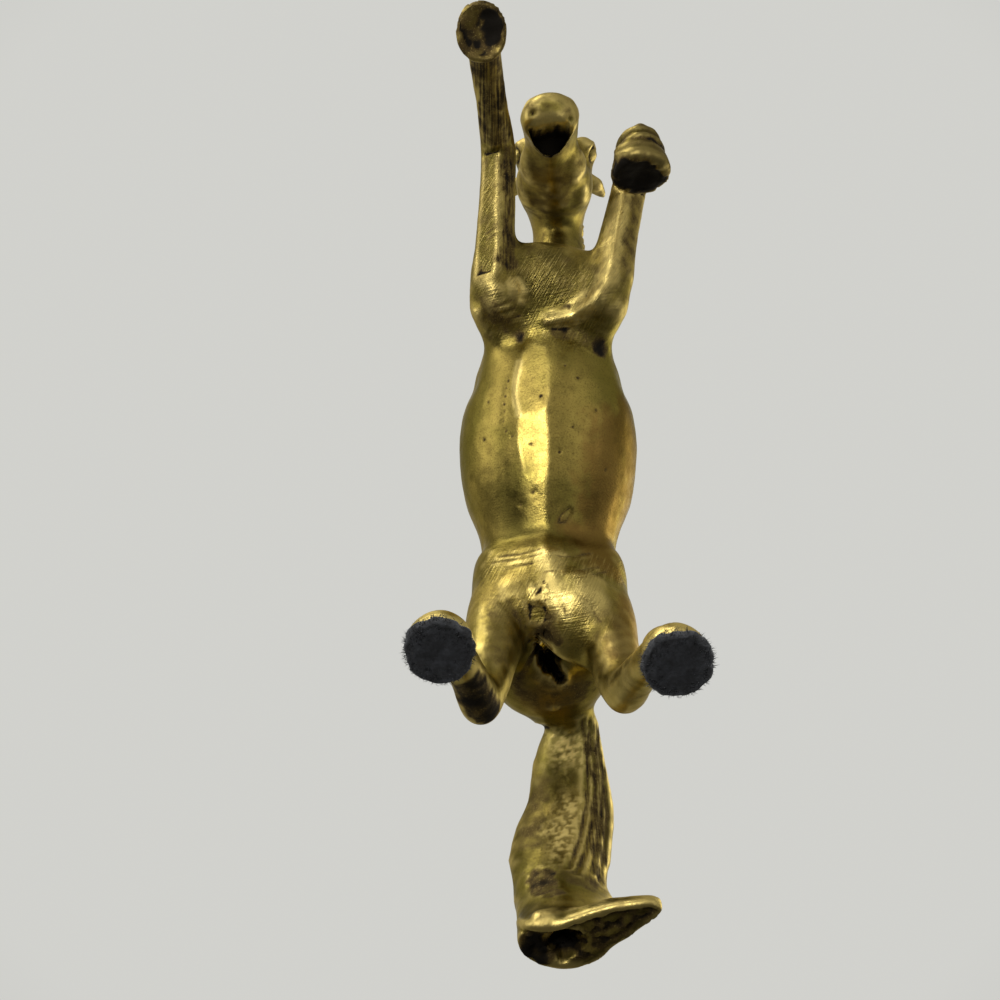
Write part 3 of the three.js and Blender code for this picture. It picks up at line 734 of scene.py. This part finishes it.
# Uneven casting skin
normal = normals_of(place)
push(0.022 * ripples(place, 7, 41) + 0.012 * ripples(place, 2.6, 42))
normal = normals_of(place)

# Hollows and whole castings are darkened, and edges are rubbed bright
fine_hollow = ((relaxed(place, 8) - place) * normal).sum(1)
broad_hollow = ((relaxed(place, 60) - place) * normal).sum(1)
# The least darkening of each casting
LEAST_DARKENING = {
    "head": 0.34, "neck": 0.3, "tail": 0.24,
    "foreleg_left": 0.3, "foreleg_right": 0.3, "hindleg_left": 0.16, "hindleg_right": 0.22,
}
for name, level in LEAST_DARKENING.items():
    raise_mark("dark", level * on_node(name))
marks["dark"] = relaxed(marks["dark"][:, None], 25)[:, 0]
raise_mark("dark", relaxed(hoof_darkening[:, None], 6)[:, 0])
darkened_hollows = 0.9 * smooth_step(0.01, 0.12, fine_hollow + 0.01 * blotch)
darkened_hollows = darkened_hollows * np.where(on_node("tail", "neck"), 0.5, 1)
raise_mark("dark", darkened_hollows)
raise_mark("dark", 0.62 * bell(strand_gap, 0.5))
raise_mark("dark", 0.55 * bell(scratched, 0.4))
for pit in PITS:
    pit_gap = distance_to(at_pixel(skin_tree, pit))
    raise_mark("dark", 0.8 * bell(pit_gap, 0.4))
raise_mark("dark", 0.6 * 4 * leaf * (1 - leaf))
raise_mark("dark", 0.8 * smooth_step(0.1, 0.7, broad_hollow + 0.08 * blotch))
rubbed = np.where(hoof_darkening > 0.1, 0.3, 0.7)
rubbed = rubbed * (1 - 0.85 * in_outline(BELLY, 8))
raise_mark("pale_and_highlight", rubbed * smooth_step(0.01, 0.07, -fine_hollow))

# Painted tone, shade, highlights and reflection: lines of pixels, reach in millimetres and strength
LEFT_FLANK = [(629, 420), (632, 480), (622, 535)]
RIGHT_THIGH = [(500, 610), (497, 650)]
RIGHT_ELBOW = [(484, 285), (494, 294)]
FOREARM_SHADE = [(509, 155), (510, 210), (509, 262)]
DARK_STROKES = [
    ([(486, 66), (490, 100), (494, 136)], 4.2, 0.62),  # right cannon, left unfiled, with painted shade where it turns away
    (FOREARM_SHADE, 2.0, 0.58),
    ([(638, 200), (634, 230), (626, 270)], 2.6, 0.48),  # painted shade on the left forearm beside its ridge
    (FOLDED_GROOVE, 0.7, 0.95),
    (FOLDED_BAND, 0.6, 0.85),
    ([(604, 620), (614, 648), (624, 676)], 4.0, 0.3),  # painted shade on the left thigh
    # painted shade on the right thigh
    (RIGHT_THIGH, 3.4, 0.36),
    ([(596, 735), (602, 800), (598, 870)], 2.4, 0.55),  # strands of the tail
    ([(542, 785), (534, 812), (526, 845)], 2.6, 0.45),  # painted shade on the side of the tail
    ([(570, 876), (596, 884)], 2.6, 0.5),  # rough foot of the tail
    ([(465, 690), (478, 704), (490, 716)], 3.2, 0.8),  # right hock
    ([(480, 304), (492, 318), (510, 328)], 2.4, 0.5),  # right elbow crease
    ([(556, 332), (580, 336), (604, 346)], 1.5, 0.45),  # painted shade in the left elbow crease
    # painted shadow in the gap between the left elbow and the belly
    ([(600, 344), (606, 350)], 1.8, 0.8),
    ([(530, 640), (546, 628), (556, 640)], 1.6, 0.6),  # around the vent
    ([(508, 600), (520, 618), (531, 636)], 0.8, 0.5),  # beside the chip in the groin
    ([(553, 616), (548, 626), (542, 636)], 1.0, 0.55),
    ([(534, 652), (526, 668), (517, 686)], 0.7, 0.6),
    ([(520, 685), (552, 695), (580, 690)], 4.0, 0.5),  # under the dock
    ([(540, 888), (556, 892)], 2.0, 0.6),  # corrosion on the tail
    ([(531, 942), (538, 955)], 2.4, 0.85),  # painted shade in the open end of the tail
    (RIGHT_ELBOW, 3.0, 0.3),
    ([(611, 735), (618, 800), (613, 875)], 1.6, 0.45),  # painted shade along the edge of the tail
]
# Dull strokes darken the tone towards a dull olive; on the belly, flank, chest, elbow, thighs, tail and
# folded hoof this is painted shade that holds back reflections.
DULL_AND_SHADE_STROKES = [
    ([(498, 495), (500, 520), (510, 548)], 6.0, 0.65),  # belly
    (LEFT_FLANK, 5.5, 0.45),
    ([(545, 272), (585, 288)], 6.0, 0.75),  # chest
    (RIGHT_ELBOW, 4.0, 0.45),
    ([(622, 150), (640, 140), (660, 152)], 6.0, 1.0),  # folded hoof
    ([(544, 785), (534, 815), (524, 850)], 3.6, 0.8),  # middle of the tail
    ([(526, 911), (564, 911)], 2.2, 0.9),  # above the tail's lip
    ([(610, 903), (650, 900)], 2.4, 1.0),  # lock at the tail's end
    ([(606, 735), (614, 800), (609, 875)], 3.2, 1.0),  # side of the tail
    ([(530, 957), (560, 966), (600, 961), (640, 930), (660, 915)], 1.6, 0.9),  # foot of the tail
    (RIGHT_THIGH, 4.0, 0.5),
    ([(600, 610), (610, 645), (620, 676)], 4.0, 0.5),  # left thigh
    ([(540, 165), (552, 190), (552, 205)], 4.0, 0.6),  # jaw
    ([(488, 165), (486, 215), (482, 262)], 2.4, 0.55),  # filed facet of the right forearm
]
# Bright strokes are painted highlights.
HIGHLIGHT_STROKES = [
    ([(620, 205), (614, 240), (611, 265), (602, 292), (580, 312), (556, 320)], 2.0, 0.95),  # swoop
    ([(514, 289)], 1.8, 1.0),  # bumps of the right elbow
    ([(520, 302)], 0.9, 0.9),
    ([(551, 556), (553, 585), (562, 606)], 2.4, 0.8),  # groin
    ([(529, 624), (540, 626), (548, 620), (548, 596)], 0.6, 1.0),  # chip in the groin
    ([(590, 578), (592, 600)], 3.6, 0.55),  # left thigh
    ([(628, 688), (634, 700)], 2.0, 0.4),  # left hock
    ([(519, 362), (515, 385), (515, 400), (519, 414)], 0.7, 0.7),  # edge of the filed strip
    ([(538, 121), (562, 119)], 1.3, 0.9),  # upper lip
    (FOLDED_LIP, 0.6, 0.4),
    (TAIL_LIP, 0.6, 0.4),
]
# Warm strokes: on the left of the belly, the flank and the left thigh a painted warm reflection; under the
# dock and on the jaw a brown tint.
WARM_REFLECTION_AND_TINT_STROKES = [
    ([(612, 440), (608, 500), (596, 550)], 6.0, 0.7),  # left of the belly
    (LEFT_FLANK, 5.0, 0.8),
    ([(632, 600), (630, 650)], 4.0, 0.7),  # left thigh
    ([(545, 700), (560, 690)], 5.0, 0.5),  # under the dock
    ([(548, 180), (550, 200)], 4.0, 0.5),  # jaw
]
DRAWN_STROKES = [
    ([(486, 66), (490, 100), (494, 140)], 5.0, 0.9),  # right cannon
    (FOREARM_SHADE, 2.4, 0.8),
    ([(594, 735), (602, 800), (596, 870)], 4.0, 0.6),  # strands of the tail
]
FILED_STROKES = [
    ([(540, 275), (590, 290)], 6.0, 1.0),  # chest
    ([(490, 160), (488, 240), (484, 290)], 4.0, 1.0),  # right forearm
    ([(620, 205), (612, 270)], 4.0, 0.9),  # left forearm
    ([(490, 318), (520, 325)], 4.0, 1.0),  # elbows
    ([(550, 326), (585, 332)], 3.0, 1.0),
    ([(500, 565), (600, 570)], 4.0, 0.8),  # groin
    ([(520, 600), (580, 610)], 6.0, 0.7),
]
# Outlines that are darkened: the mouth, the vent and the tail hole hold painted shade in their openings; the
# soles and the corrosion are dark.
DARKENED_OUTLINES = [
    (MOUTH, 1.0), (VENT, 1.0), (RIGHT_SOLE, 0.6), (SOLE_BLACK, 0.95), (LEFT_SOLE, 1.0), (CORROSION, 0.65),
    (TAIL_HOLE, 1.0),
]
for outline, strength in DARKENED_OUTLINES:
    raise_mark("dark", strength * in_outline(outline, 4, 1.2))
# Painted shade on the underside of the tail's foot, broken by its rough skin.
raise_mark("dark", underside * (0.3 + 0.45 * ragged))
marks["pale_and_highlight"] = marks["pale_and_highlight"] * (1 - np.maximum(in_outline(CORROSION, 9), underside))
raise_mark("pale_and_highlight", 0.9 * 4 * chip * (1 - chip))
raise_mark("pale_and_highlight", 0.6 * in_outline(BRAZE_BLOB, 4, 1.5))
for key, strokes in (
    ("dark", DARK_STROKES), ("dull_and_shade", DULL_AND_SHADE_STROKES), ("pale_and_highlight", HIGHLIGHT_STROKES), ("warm_reflection_and_tint", WARM_REFLECTION_AND_TINT_STROKES),
    ("filed", FILED_STROKES), ("drawn", DRAWN_STROKES),
):
    for pixels, reach, strength in strokes:
        paint(key, pixels, reach, strength)
# On the tail's front the raised flecks of the cast skin get a painted highlight, and the hollows between
# them are darker.
for patch in TAIL_PEEL:
    peel = in_outline(patch, 14, 1.5)
    raise_mark("pale_and_highlight", peel * (0.35 + 0.65 * flecks))
    raise_mark("dark", 0.35 * peel * (1 - flecks))


# Pieces: each casting takes its part of the skin and is closed at its joints
def face_owners():
    middle = (place[first] + place[second] + place[third] + place[last]) / 4
    owner = tree_owner[nearest_on(owner_tree, middle)[0]]
    body = np.isin(owner, [OWNERS.index(n) for n in ("body_left", "body_right", "midline_braze")])
    side = middle[:, 0] - MIDLINE
    owner = np.where(body & (side > 0), OWNERS.index("body_left"), owner)
    owner = np.where(body & (side <= 0), OWNERS.index("body_right"), owner)
    owner = np.where(body & (np.abs(side) < SEAM_HALF), OWNERS.index("midline_braze"), owner)
    return owner


def face_pairs():
    """Faces that share an edge."""
    met, pairs = {}, []
    for index, face in enumerate(faces):
        for a, b in zip(face, face[1:] + face[:1]):
            key = (a, b) if a < b else (b, a)
            if key in met:
                pairs.append((met[key], index))
            else:
                met[key] = index
    return np.array(pairs)


def tidied(owner, pairs):
    """Gives stray faces to the casting around them."""
    left = np.concatenate([pairs[:, 0], pairs[:, 1]])
    right = np.concatenate([pairs[:, 1], pairs[:, 0]])
    for _ in range(VOTE_ROUNDS):
        votes = np.zeros((len(owner), len(OWNERS)), np.int32)
        np.add.at(votes, (left, owner[right]), 1)
        lead = votes.argmax(1)
        owner = np.where(votes.max(1) >= 3, lead, owner)
    island = np.arange(len(owner))
    same = owner[left] == owner[right]
    a, b = left[same], right[same]
    while True:
        lower = island.copy()
        np.minimum.at(lower, a, island[b])
        lower = lower[lower]
        if (lower == island).all():
            break
        island = lower
    counts = np.bincount(island, minlength=len(owner))
    small = counts[island] < LEAST_FACES
    for _ in range(LEAST_FACES):
        if not small.any():
            break
        give = small[left] & ~small[right]
        owner[left[give]] = owner[right[give]]
        small[left[give]] = False
    return owner


def border_loops(chosen):
    """Loops of corner pairs around the holes of some faces."""
    follow, open_pairs = {}, set()
    for face in chosen:
        for a, b, c in zip(face, face[1:] + face[:1], face[2:] + face[:2]):
            follow[(a, b)] = (b, c)
            open_pairs.add((a, b))
    open_pairs = {(a, b) for a, b in open_pairs if (b, a) not in follow}
    loops = []
    while open_pairs:
        begin = open_pairs.pop()
        loop, now = [begin], begin
        while True:
            now = follow[now]
            while (now[1], now[0]) in follow:
                now = follow[(now[1], now[0])]
            if now == begin:
                break
            open_pairs.discard(now)
            loop.append(now)
        loops.append(loop)
    return loops


def finish_piece(name, points, polygons, corner_normals, own_marks, material):
    mesh = bpy.data.meshes.new(name)
    mesh.from_pydata([tuple(p) for p in points * MM], [], polygons)
    for key, values in own_marks.items():
        layer = mesh.attributes.new(key, "FLOAT", "POINT")
        layer.data.foreach_set("value", values.astype(np.float32))
    mesh.shade_smooth()
    if corner_normals is not None:
        mesh.normals_split_custom_set(corner_normals)
    mesh.materials.append(material)
    piece = added(name + "_skin", mesh)
    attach(piece, "root")
    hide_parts(name)


def cut_piece(name, chosen, material, slot):
    used = sorted({v for face in chosen for v in face})
    index = {v: k for k, v in enumerate(used)}
    points = place[used]
    own_marks = {key: values[used] for key, values in marks.items()}
    polygons = [[index[v] for v in face] for face in chosen]
    skin_normals = normal[used]
    corner_normals = [tuple(skin_normals[v]) for polygon in polygons for v in polygon]
    loops = [[(index[a], index[b]) for a, b in loop] for loop in border_loops(chosen)]
    extra, walls = [], []
    if slot == "filler" or name in SHELLS:
        count = len(used)
        extra = list(points - skin_normals * BRAZE_DEPTH)
        walls = [[v + count for v in reversed(polygon)] for polygon in polygons]
        walls += [[b, a, a + count, b + count] for loop in loops for a, b in loop]
        own_marks = {key: np.concatenate([values, values]) for key, values in own_marks.items()}
    else:
        for loop in loops:
            centre = len(used) + len(extra)
            extra.append(points[[a for a, _ in loop]].mean(0))
            walls += [[b, a, centre] for a, b in loop]
        capped = np.ones(len(extra))
        own_marks = {key: np.concatenate([values, capped]) for key, values in own_marks.items()}
    points = np.concatenate([points, np.array(extra)]) if len(extra) else points
    for wall in walls:
        way = np.cross(points[wall[1]] - points[wall[0]], points[wall[2]] - points[wall[0]])
        way = way / max(np.linalg.norm(way), 1e-12)
        corner_normals += [tuple(way)] * len(wall)
    finish_piece(name, points, polygons + walls, corner_normals, own_marks, material)


# Materials
def add_node(tree, kind, inputs=(), **settings):
    """A new node with its settings made and its inputs set or joined."""
    made = tree.nodes.new(kind)
    for key, value in settings.items():
        setattr(made, key, value)
    for key, value in dict(inputs).items():
        if isinstance(value, bpy.types.NodeSocket):
            tree.links.new(value, made.inputs[key])
        else:
            made.inputs[key].default_value = value
    return made


def set_ramp(ramp, *stops):
    for element, (position, colour) in zip(ramp.color_ramp.elements, stops):
        element.position = position
        element.color = colour


def new_material(name):
    material = bpy.data.materials.new(name)
    material.use_nodes = True
    return material, material.node_tree, material.node_tree.nodes["Principled BSDF"]


def aged_brass(name):
    material, tree, shader = new_material(name)

    def node(kind, inputs=(), **settings):
        return add_node(tree, kind, inputs, **settings)

    def join(source, target):
        tree.links.new(source, target)

    where = node("ShaderNodeTexCoord").outputs["Object"]

    def noise(scale, detail):
        values = {"Vector": where, "Scale": scale, "Detail": detail, "Roughness": 0.55}
        return node("ShaderNodeTexNoise", values).outputs["Fac"]

    def ranged(value, low, high, to_low=0.0, to_high=1.0):
        values = {"Value": value, "From Min": low, "From Max": high, "To Min": to_low, "To Max": to_high}
        return node("ShaderNodeMapRange", values, interpolation_type="SMOOTHSTEP").outputs["Result"]

    def maths(operation, a, b):
        return node("ShaderNodeMath", {0: a, 1: b}, operation=operation).outputs["Value"]

    def scaled(value, strength):
        return maths("MULTIPLY", value, strength)

    def centred(value, strength):
        return scaled(maths("SUBTRACT", value, 0.5), strength)

    def blended(share, low, high):
        tones = [(*tone, 1) if isinstance(tone, tuple) else tone for tone in (low, high)]
        return node("ShaderNodeMix", {0: share, 6: tones[0], 7: tones[1]}, data_type="RGBA").outputs[2]

    def mark(key):
        return node("ShaderNodeAttribute", attribute_name=key).outputs["Fac"]

    def file_marks(across_way, along_way, fine):
        """Noise drawn out along one way, as a file leaves it."""
        parts = node("ShaderNodeCombineXYZ")
        for socket, way, scale in zip(parts.inputs, (across_way, along_way), (fine, fine * 0.1)):
            values = {0: where, 1: tuple(unit(way) * scale)}
            join(node("ShaderNodeVectorMath", values, operation="DOT_PRODUCT").outputs["Value"], socket)
        values = {"Vector": parts.outputs["Vector"], "Scale": 1, "Detail": 3}
        return node("ShaderNodeTexNoise", values, noise_dimensions="2D").outputs["Fac"]

    slant = 0.85 * VIEW_UP + 0.5 * VIEW_RIGHT
    level = 0.95 * VIEW_RIGHT + 0.2 * VIEW_UP
    slanted = file_marks(np.cross(slant, VIEW_AHEAD), slant, 4300)
    scratch = maths("ADD", slanted, file_marks(np.cross(level, VIEW_AHEAD), level, 3100))
    drawn = file_marks(VIEW_RIGHT, VIEW_UP, 2600)

    olive = (0.21, 0.17, 0.034)
    gold = (0.38, 0.28, 0.066)
    pale = (0.74, 0.57, 0.19)
    brown = (0.085, 0.056, 0.018)
    soot_and_shadow = (0.01, 0.008, 0.006)
    warm_brown = (0.2, 0.095, 0.025)
    dull_shade_olive = (0.055, 0.043, 0.01)
    cloud = noise(55, 3)
    mottle = noise(420, 5)
    grain = noise(2600, 4)
    body_tone = blended(ranged(cloud, 0.36, 0.64), olive, gold)
    body_tone = blended(scaled(ranged(mottle, 0.52, 0.72), 0.25), body_tone, brown)
    pores = scaled(ranged(noise(3600, 2), 0.5, 0.66), 0.38)
    body_tone = blended(pores, body_tone, brown)
    # A painted warm reflection, and a brown tint.
    body_tone = blended(scaled(mark("warm_reflection_and_tint"), 0.8), body_tone, warm_brown)
    # Mostly painted shade, towards a dull olive.
    body_tone = blended(scaled(mark("dull_and_shade"), 0.9), body_tone, dull_shade_olive)
    # Rubbed wear, braze and painted highlights turn the tone pale.
    body_tone = blended(mark("pale_and_highlight"), body_tone, pale)
    filed, dark = mark("filed"), mark("dark")
    body_tone = blended(scaled(filed, ranged(slanted, 0.53, 0.67, 0.0, 0.28)), body_tone, pale)
    body_tone = blended(scaled(filed, ranged(slanted, 0.47, 0.33, 0.0, 0.4)), body_tone, brown)
    # The dark mark holds patina and dirt and also painted shade; where it is strong the tone turns brown,
    # then near black.
    edge = maths("ADD", dark, centred(mottle, 0.8))
    edge = maths("ADD", edge, centred(drawn, mark("drawn")))
    edge = maths("ADD", edge, centred(slanted, scaled(filed, 0.35)))
    grime_and_shade = scaled(ranged(edge, 0.1, 0.95), ranged(dark, 0.0, 0.3))
    grimy_and_shaded = blended(ranged(grime_and_shade, 0.0, 0.75), body_tone, brown)
    grimy_and_shaded = blended(ranged(grime_and_shade, 0.6, 1.0), grimy_and_shaded, soot_and_shadow)
    speck = scaled(ranged(noise(4200, 2), 0.58, 0.7), ranged(grime_and_shade, 0.25, 0.6))
    grimy_and_shaded = blended(scaled(speck, ranged(grime_and_shade, 0.95, 0.7, 0.0, 0.25)), grimy_and_shaded, pale)
    join(grimy_and_shaded, shader.inputs["Base Color"])
    matte = maths("ADD", scaled(grime_and_shade, 0.3), scaled(mark("cast"), 0.55))
    join(maths("SUBTRACT", 1, matte), shader.inputs["Metallic"])
    rough = maths("ADD", ranged(mottle, 0.3, 0.7, 0.3, 0.44), scaled(grime_and_shade, 0.4))
    join(rough, shader.inputs["Roughness"])
    shader.inputs["Specular Tint"].default_value = (0.6, 0.56, 0.47, 1)
    scratch = scaled(scratch, ranged(filed, 0.0, 1.0, 0.16, 1.0))
    relief = maths("ADD", scaled(grain, 0.45), scratch)
    bump = node("ShaderNodeBump", {"Strength": 0.6, "Distance": 0.00013, "Height": relief})
    join(bump.outputs["Normal"], shader.inputs["Normal"])
    return material


brass = aged_brass("aged_brass")
filler = aged_brass("filed_braze")


FELT_BLACK = (0.006, 0.006, 0.007, 1)
FELT_WORN = (0.034, 0.036, 0.041, 1)


def black_felt():
    material, tree, shader = new_material("black_felt")
    where = add_node(tree, "ShaderNodeTexCoord").outputs["Object"]
    fuzz = add_node(tree, "ShaderNodeTexNoise", {"Vector": where, "Scale": 2400, "Detail": 5}).outputs["Fac"]
    wear = add_node(tree, "ShaderNodeTexNoise", {"Vector": where, "Scale": 520, "Detail": 4}).outputs["Fac"]
    total = add_node(tree, "ShaderNodeMath", {0: fuzz, 1: 0.6, 2: wear}, operation="MULTIPLY_ADD")
    tone = add_node(tree, "ShaderNodeValToRGB", {"Fac": total.outputs["Value"]})
    set_ramp(tone, (0.6, FELT_BLACK), (1.0, FELT_WORN))
    tree.links.new(tone.outputs["Color"], shader.inputs["Base Color"])
    shader.inputs["Roughness"].default_value = 0.92
    shader.inputs["Sheen Weight"].default_value = 0.12
    bump = add_node(tree, "ShaderNodeBump", {"Strength": 0.6, "Distance": 0.0002, "Height": fuzz})
    tree.links.new(bump.outputs["Normal"], shader.inputs["Normal"])
    return material


def felt_pad(name, seed, material):
    """A disc of felt with a soft rim, a worn ring in its face and loose fibres."""
    low, high = (np.array(corner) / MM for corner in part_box(name))
    middle, reach = (low + high) / 2, (high - low) / 2
    draw = np.random.default_rng(seed)
    turns = np.linspace(0, 2 * math.pi, FELT_SIDES, endpoint=False)
    bend = np.linspace(math.pi / 2, -math.pi / 2, 9)[1:-1]
    profile = [(share, 1.0) for share in np.linspace(0.1, FELT_RIM, 8)]
    profile += [(FELT_RIM + FELT_ROUND * math.cos(b), math.sin(b)) for b in bend]
    profile += [(share, -1.0) for share in np.linspace(FELT_RIM, FELT_ROUND, 14)]
    points = []
    for share, level in profile:
        ring = np.stack([share * np.cos(turns), share * np.sin(turns), np.full(FELT_SIDES, level)], 1)
        ring = ring * reach + middle
        uneven = ripples(ring, 1.3, seed + 1) + 0.7 * ripples(ring, 3.5, seed + 2)
        if level < 0:
            worn = 0.16 * math.exp(-(((share - 0.82) / 0.05) ** 2))
            ring[:, 2] += 0.1 + worn + np.clip(0.035 * uneven, -0.09, 0.12)
        outward = (ring - middle) * [1, 1, 0]
        outward /= np.linalg.norm(outward, axis=1, keepdims=True)
        points.append(ring + outward * (0.1 * share ** 4 * uneven)[:, None])
    count = FELT_SIDES
    polygons = []
    for row in range(len(points) - 1):
        here, below = row * count, (row + 1) * count
        for k in range(count):
            n = (k + 1) % count
            polygons.append([here + n, here + k, below + k, below + n])
    points = np.concatenate(points)
    rows = len(points) // count
    points = np.concatenate([points, [points[:count].mean(0), points[-count:].mean(0)]])
    polygons += [[k, (k + 1) % count, rows * count] for k in range(count)]
    base = (rows - 1) * count
    polygons += [[base + (k + 1) % count, base + k, rows * count + 1] for k in range(count)]
    fibres = []
    for _ in range(FELT_FIBRES):
        turn = draw.uniform(0, 2 * math.pi)
        share = 1 - 0.5 * draw.uniform() ** 3
        level = draw.uniform(-0.95, 0.9) if share > FIBRE_RIM else -0.9
        root = middle + reach * [share * math.cos(turn), share * math.sin(turn), level]
        way_x = math.cos(turn + draw.normal(0, 0.7))
        way_y = math.sin(turn + draw.normal(0, 0.7))
        way = unit(np.array([way_x, way_y, 0.0]))
        length = draw.uniform(0.25, 0.7) * (1 if share > FIBRE_RIM else 0.5)
        side_way = np.array([-way[1], way[0], 0])
        wide = draw.uniform(0.025, 0.05)
        tip = root + way * length + np.array([0, 0, draw.uniform(-0.05, 0.25)])
        at = len(points) + len(fibres)
        root = root - way * 0.15
        fibres += [root + side_way * wide, root - side_way * wide, root + np.array([0, 0, 2 * wide]), tip]
        polygons += [[at, at + 1, at + 2], [at + 1, at, at + 3]]
        polygons += [[at + 2, at + 1, at + 3], [at, at + 2, at + 3]]
    points = np.concatenate([points, fibres])
    points[:, 2] = np.maximum(points[:, 2], low[2])
    finish_piece(name, points, polygons, None, {}, material)


felt = black_felt()
for seed, name in ((71, "felt_pad_left"), (81, "felt_pad_right")):
    felt_pad(name, seed, felt)

owner = tidied(face_owners(), face_pairs())
for index, name in enumerate(OWNERS):
    chosen = [faces[k] for k in np.flatnonzero(owner == index)]
    slot = "filler" if name in BRAZE_NODES else "brass"
    cut_piece(name, chosen, filler if slot == "filler" else brass, slot)

# Stage
SENSOR_WIDTH = 36
PAPER_TONE = (0.66, 0.66, 0.63, 1)
WALL_ASIDE = (0.42, 0.42, 0.4, 1)
WALL_AHEAD = (0.64, 0.64, 0.61, 1)
ROOM_BELOW = (0.1, 0.1, 0.095, 1)
camera_data = bpy.data.cameras.new("camera")
camera_data.sensor_width = SENSOR_WIDTH
camera_data.lens = SENSOR_WIDTH * FOCAL_PIXELS / IMAGE_SIDE
camera_data.clip_start = 0.005
camera = added("camera", camera_data)
look = Matrix((VIEW_RIGHT, VIEW_UP, -VIEW_AHEAD)).transposed().to_4x4()
camera.matrix_world = Matrix.Translation(Vector(EYE) * MM) @ look
bpy.context.scene.camera = camera
bpy.context.scene.view_settings.view_transform = "Standard"


def lamp(name, spot, target, width, height, power):
    data = bpy.data.lights.new(name, "AREA")
    data.shape = "RECTANGLE"
    data.size = width
    data.size_y = height
    data.energy = power
    made = added(name, data)
    made.location = spot
    made.rotation_mode = "QUATERNION"
    made.rotation_quaternion = (Vector(target) - Vector(spot)).to_track_quat("-Z", "Y")
    made.visible_camera = False
    return made


# Soft lamps that stand where a spot of the skin mirrors them: pixel, side in metres, power.
# Some of them cut through the level of the floor, so they light the horse alone.
# The window gives the bright patch on the filed strip of the belly.
MIRRORED_LAMPS = {
    "window": ((536, 442), 0.13, 1.5),
    "room_right": ((490, 425), 0.4, 0.75),
    "room_left": ((582, 430), 0.5, 0.5),
    "window_low": ((565, 748), 0.25, 0.6),
}
LAMP_DISTANCE = 600  # millimetres from the spot that mirrors it
off_floor = bpy.data.collections.new("off_floor")
final_tree = BVHTree.FromPolygons([Vector(p) for p in place], faces)
for name, (pixel, side, power) in MIRRORED_LAMPS.items():
    spot = at_pixel(final_tree, pixel)
    way = unit(normal[distance_to(spot) < 2].mean(0))
    sight = unit(spot - EYE)
    stand = spot + LAMP_DISTANCE * (sight - 2 * (sight @ way) * way)
    mirrored = lamp(name, Vector(stand) * MM, Vector(spot) * MM, side, side, power)
    mirrored.light_linking.receiver_collection = off_floor
lamp("key_above", (-0.4, -0.5, 0.7), (0, 0, 0.07), 0.5, 0.5, 4.0)
lamp("fill_above", (0.6, 0.4, 0.5), (0, 0, 0.07), 0.5, 0.5, 2.0)

FLOOR_RADIUS = 1.5
FLOOR_SIDES = 96
FLOOR_DROP = 0.0003
floor_mesh = bpy.data.meshes.new("floor")
turns = np.linspace(0, 2 * math.pi, FLOOR_SIDES, endpoint=False)
ring = [(FLOOR_RADIUS * math.cos(turn), FLOOR_RADIUS * math.sin(turn), 0.0) for turn in turns]
floor_mesh.from_pydata(ring, [], [list(range(len(ring)))])
floor = added("floor", floor_mesh)
floor.location.z = -FLOOR_DROP
floor.visible_shadow = False
floor.visible_glossy = False
off_floor.objects.link(floor)
off_floor.collection_objects[0].light_linking.link_state = "EXCLUDE"
paper, paper_tree, paper_shader = new_material("paper")
paper_shader.inputs["Base Color"].default_value = PAPER_TONE
paper_shader.inputs["Roughness"].default_value = 0.8
clear = add_node(paper_tree, "ShaderNodeBsdfTransparent").outputs["BSDF"]
facing = add_node(paper_tree, "ShaderNodeNewGeometry").outputs["Backfacing"]
either = add_node(paper_tree, "ShaderNodeMixShader", {0: facing, 1: paper_shader.outputs["BSDF"], 2: clear})
paper_tree.links.new(either.outputs["Shader"], paper_tree.nodes["Material Output"].inputs["Surface"])
floor_mesh.materials.append(paper)

world = bpy.data.worlds.new("world")
bpy.context.scene.world = world
world.use_nodes = True
sky = world.node_tree
# Walls and ceiling are pale, most of all behind the horse, and the room below it is dim.
sky_way = add_node(sky, "ShaderNodeTexCoord").outputs["Generated"]
sky_rise = add_node(sky, "ShaderNodeSeparateXYZ", {"Vector": sky_way}).outputs["Z"]
sky_ways = {0: sky_way, 1: tuple(VIEW_AHEAD)}
sky_facing = add_node(sky, "ShaderNodeVectorMath", sky_ways, operation="DOT_PRODUCT")
sky_wall = add_node(sky, "ShaderNodeValToRGB", {"Fac": sky_facing.outputs["Value"]})
set_ramp(sky_wall, (0.55, WALL_ASIDE), (0.85, WALL_AHEAD))
sky_height = add_node(sky, "ShaderNodeMapRange", {"From Min": -0.2, "From Max": 0.0, "Value": sky_rise})
sky_tones = {0: sky_height.outputs["Result"], 6: ROOM_BELOW, 7: sky_wall.outputs["Color"]}
sky_tone = add_node(sky, "ShaderNodeMix", sky_tones, data_type="RGBA")
sky.links.new(sky_tone.outputs[2], sky.nodes["Background"].inputs["Color"])
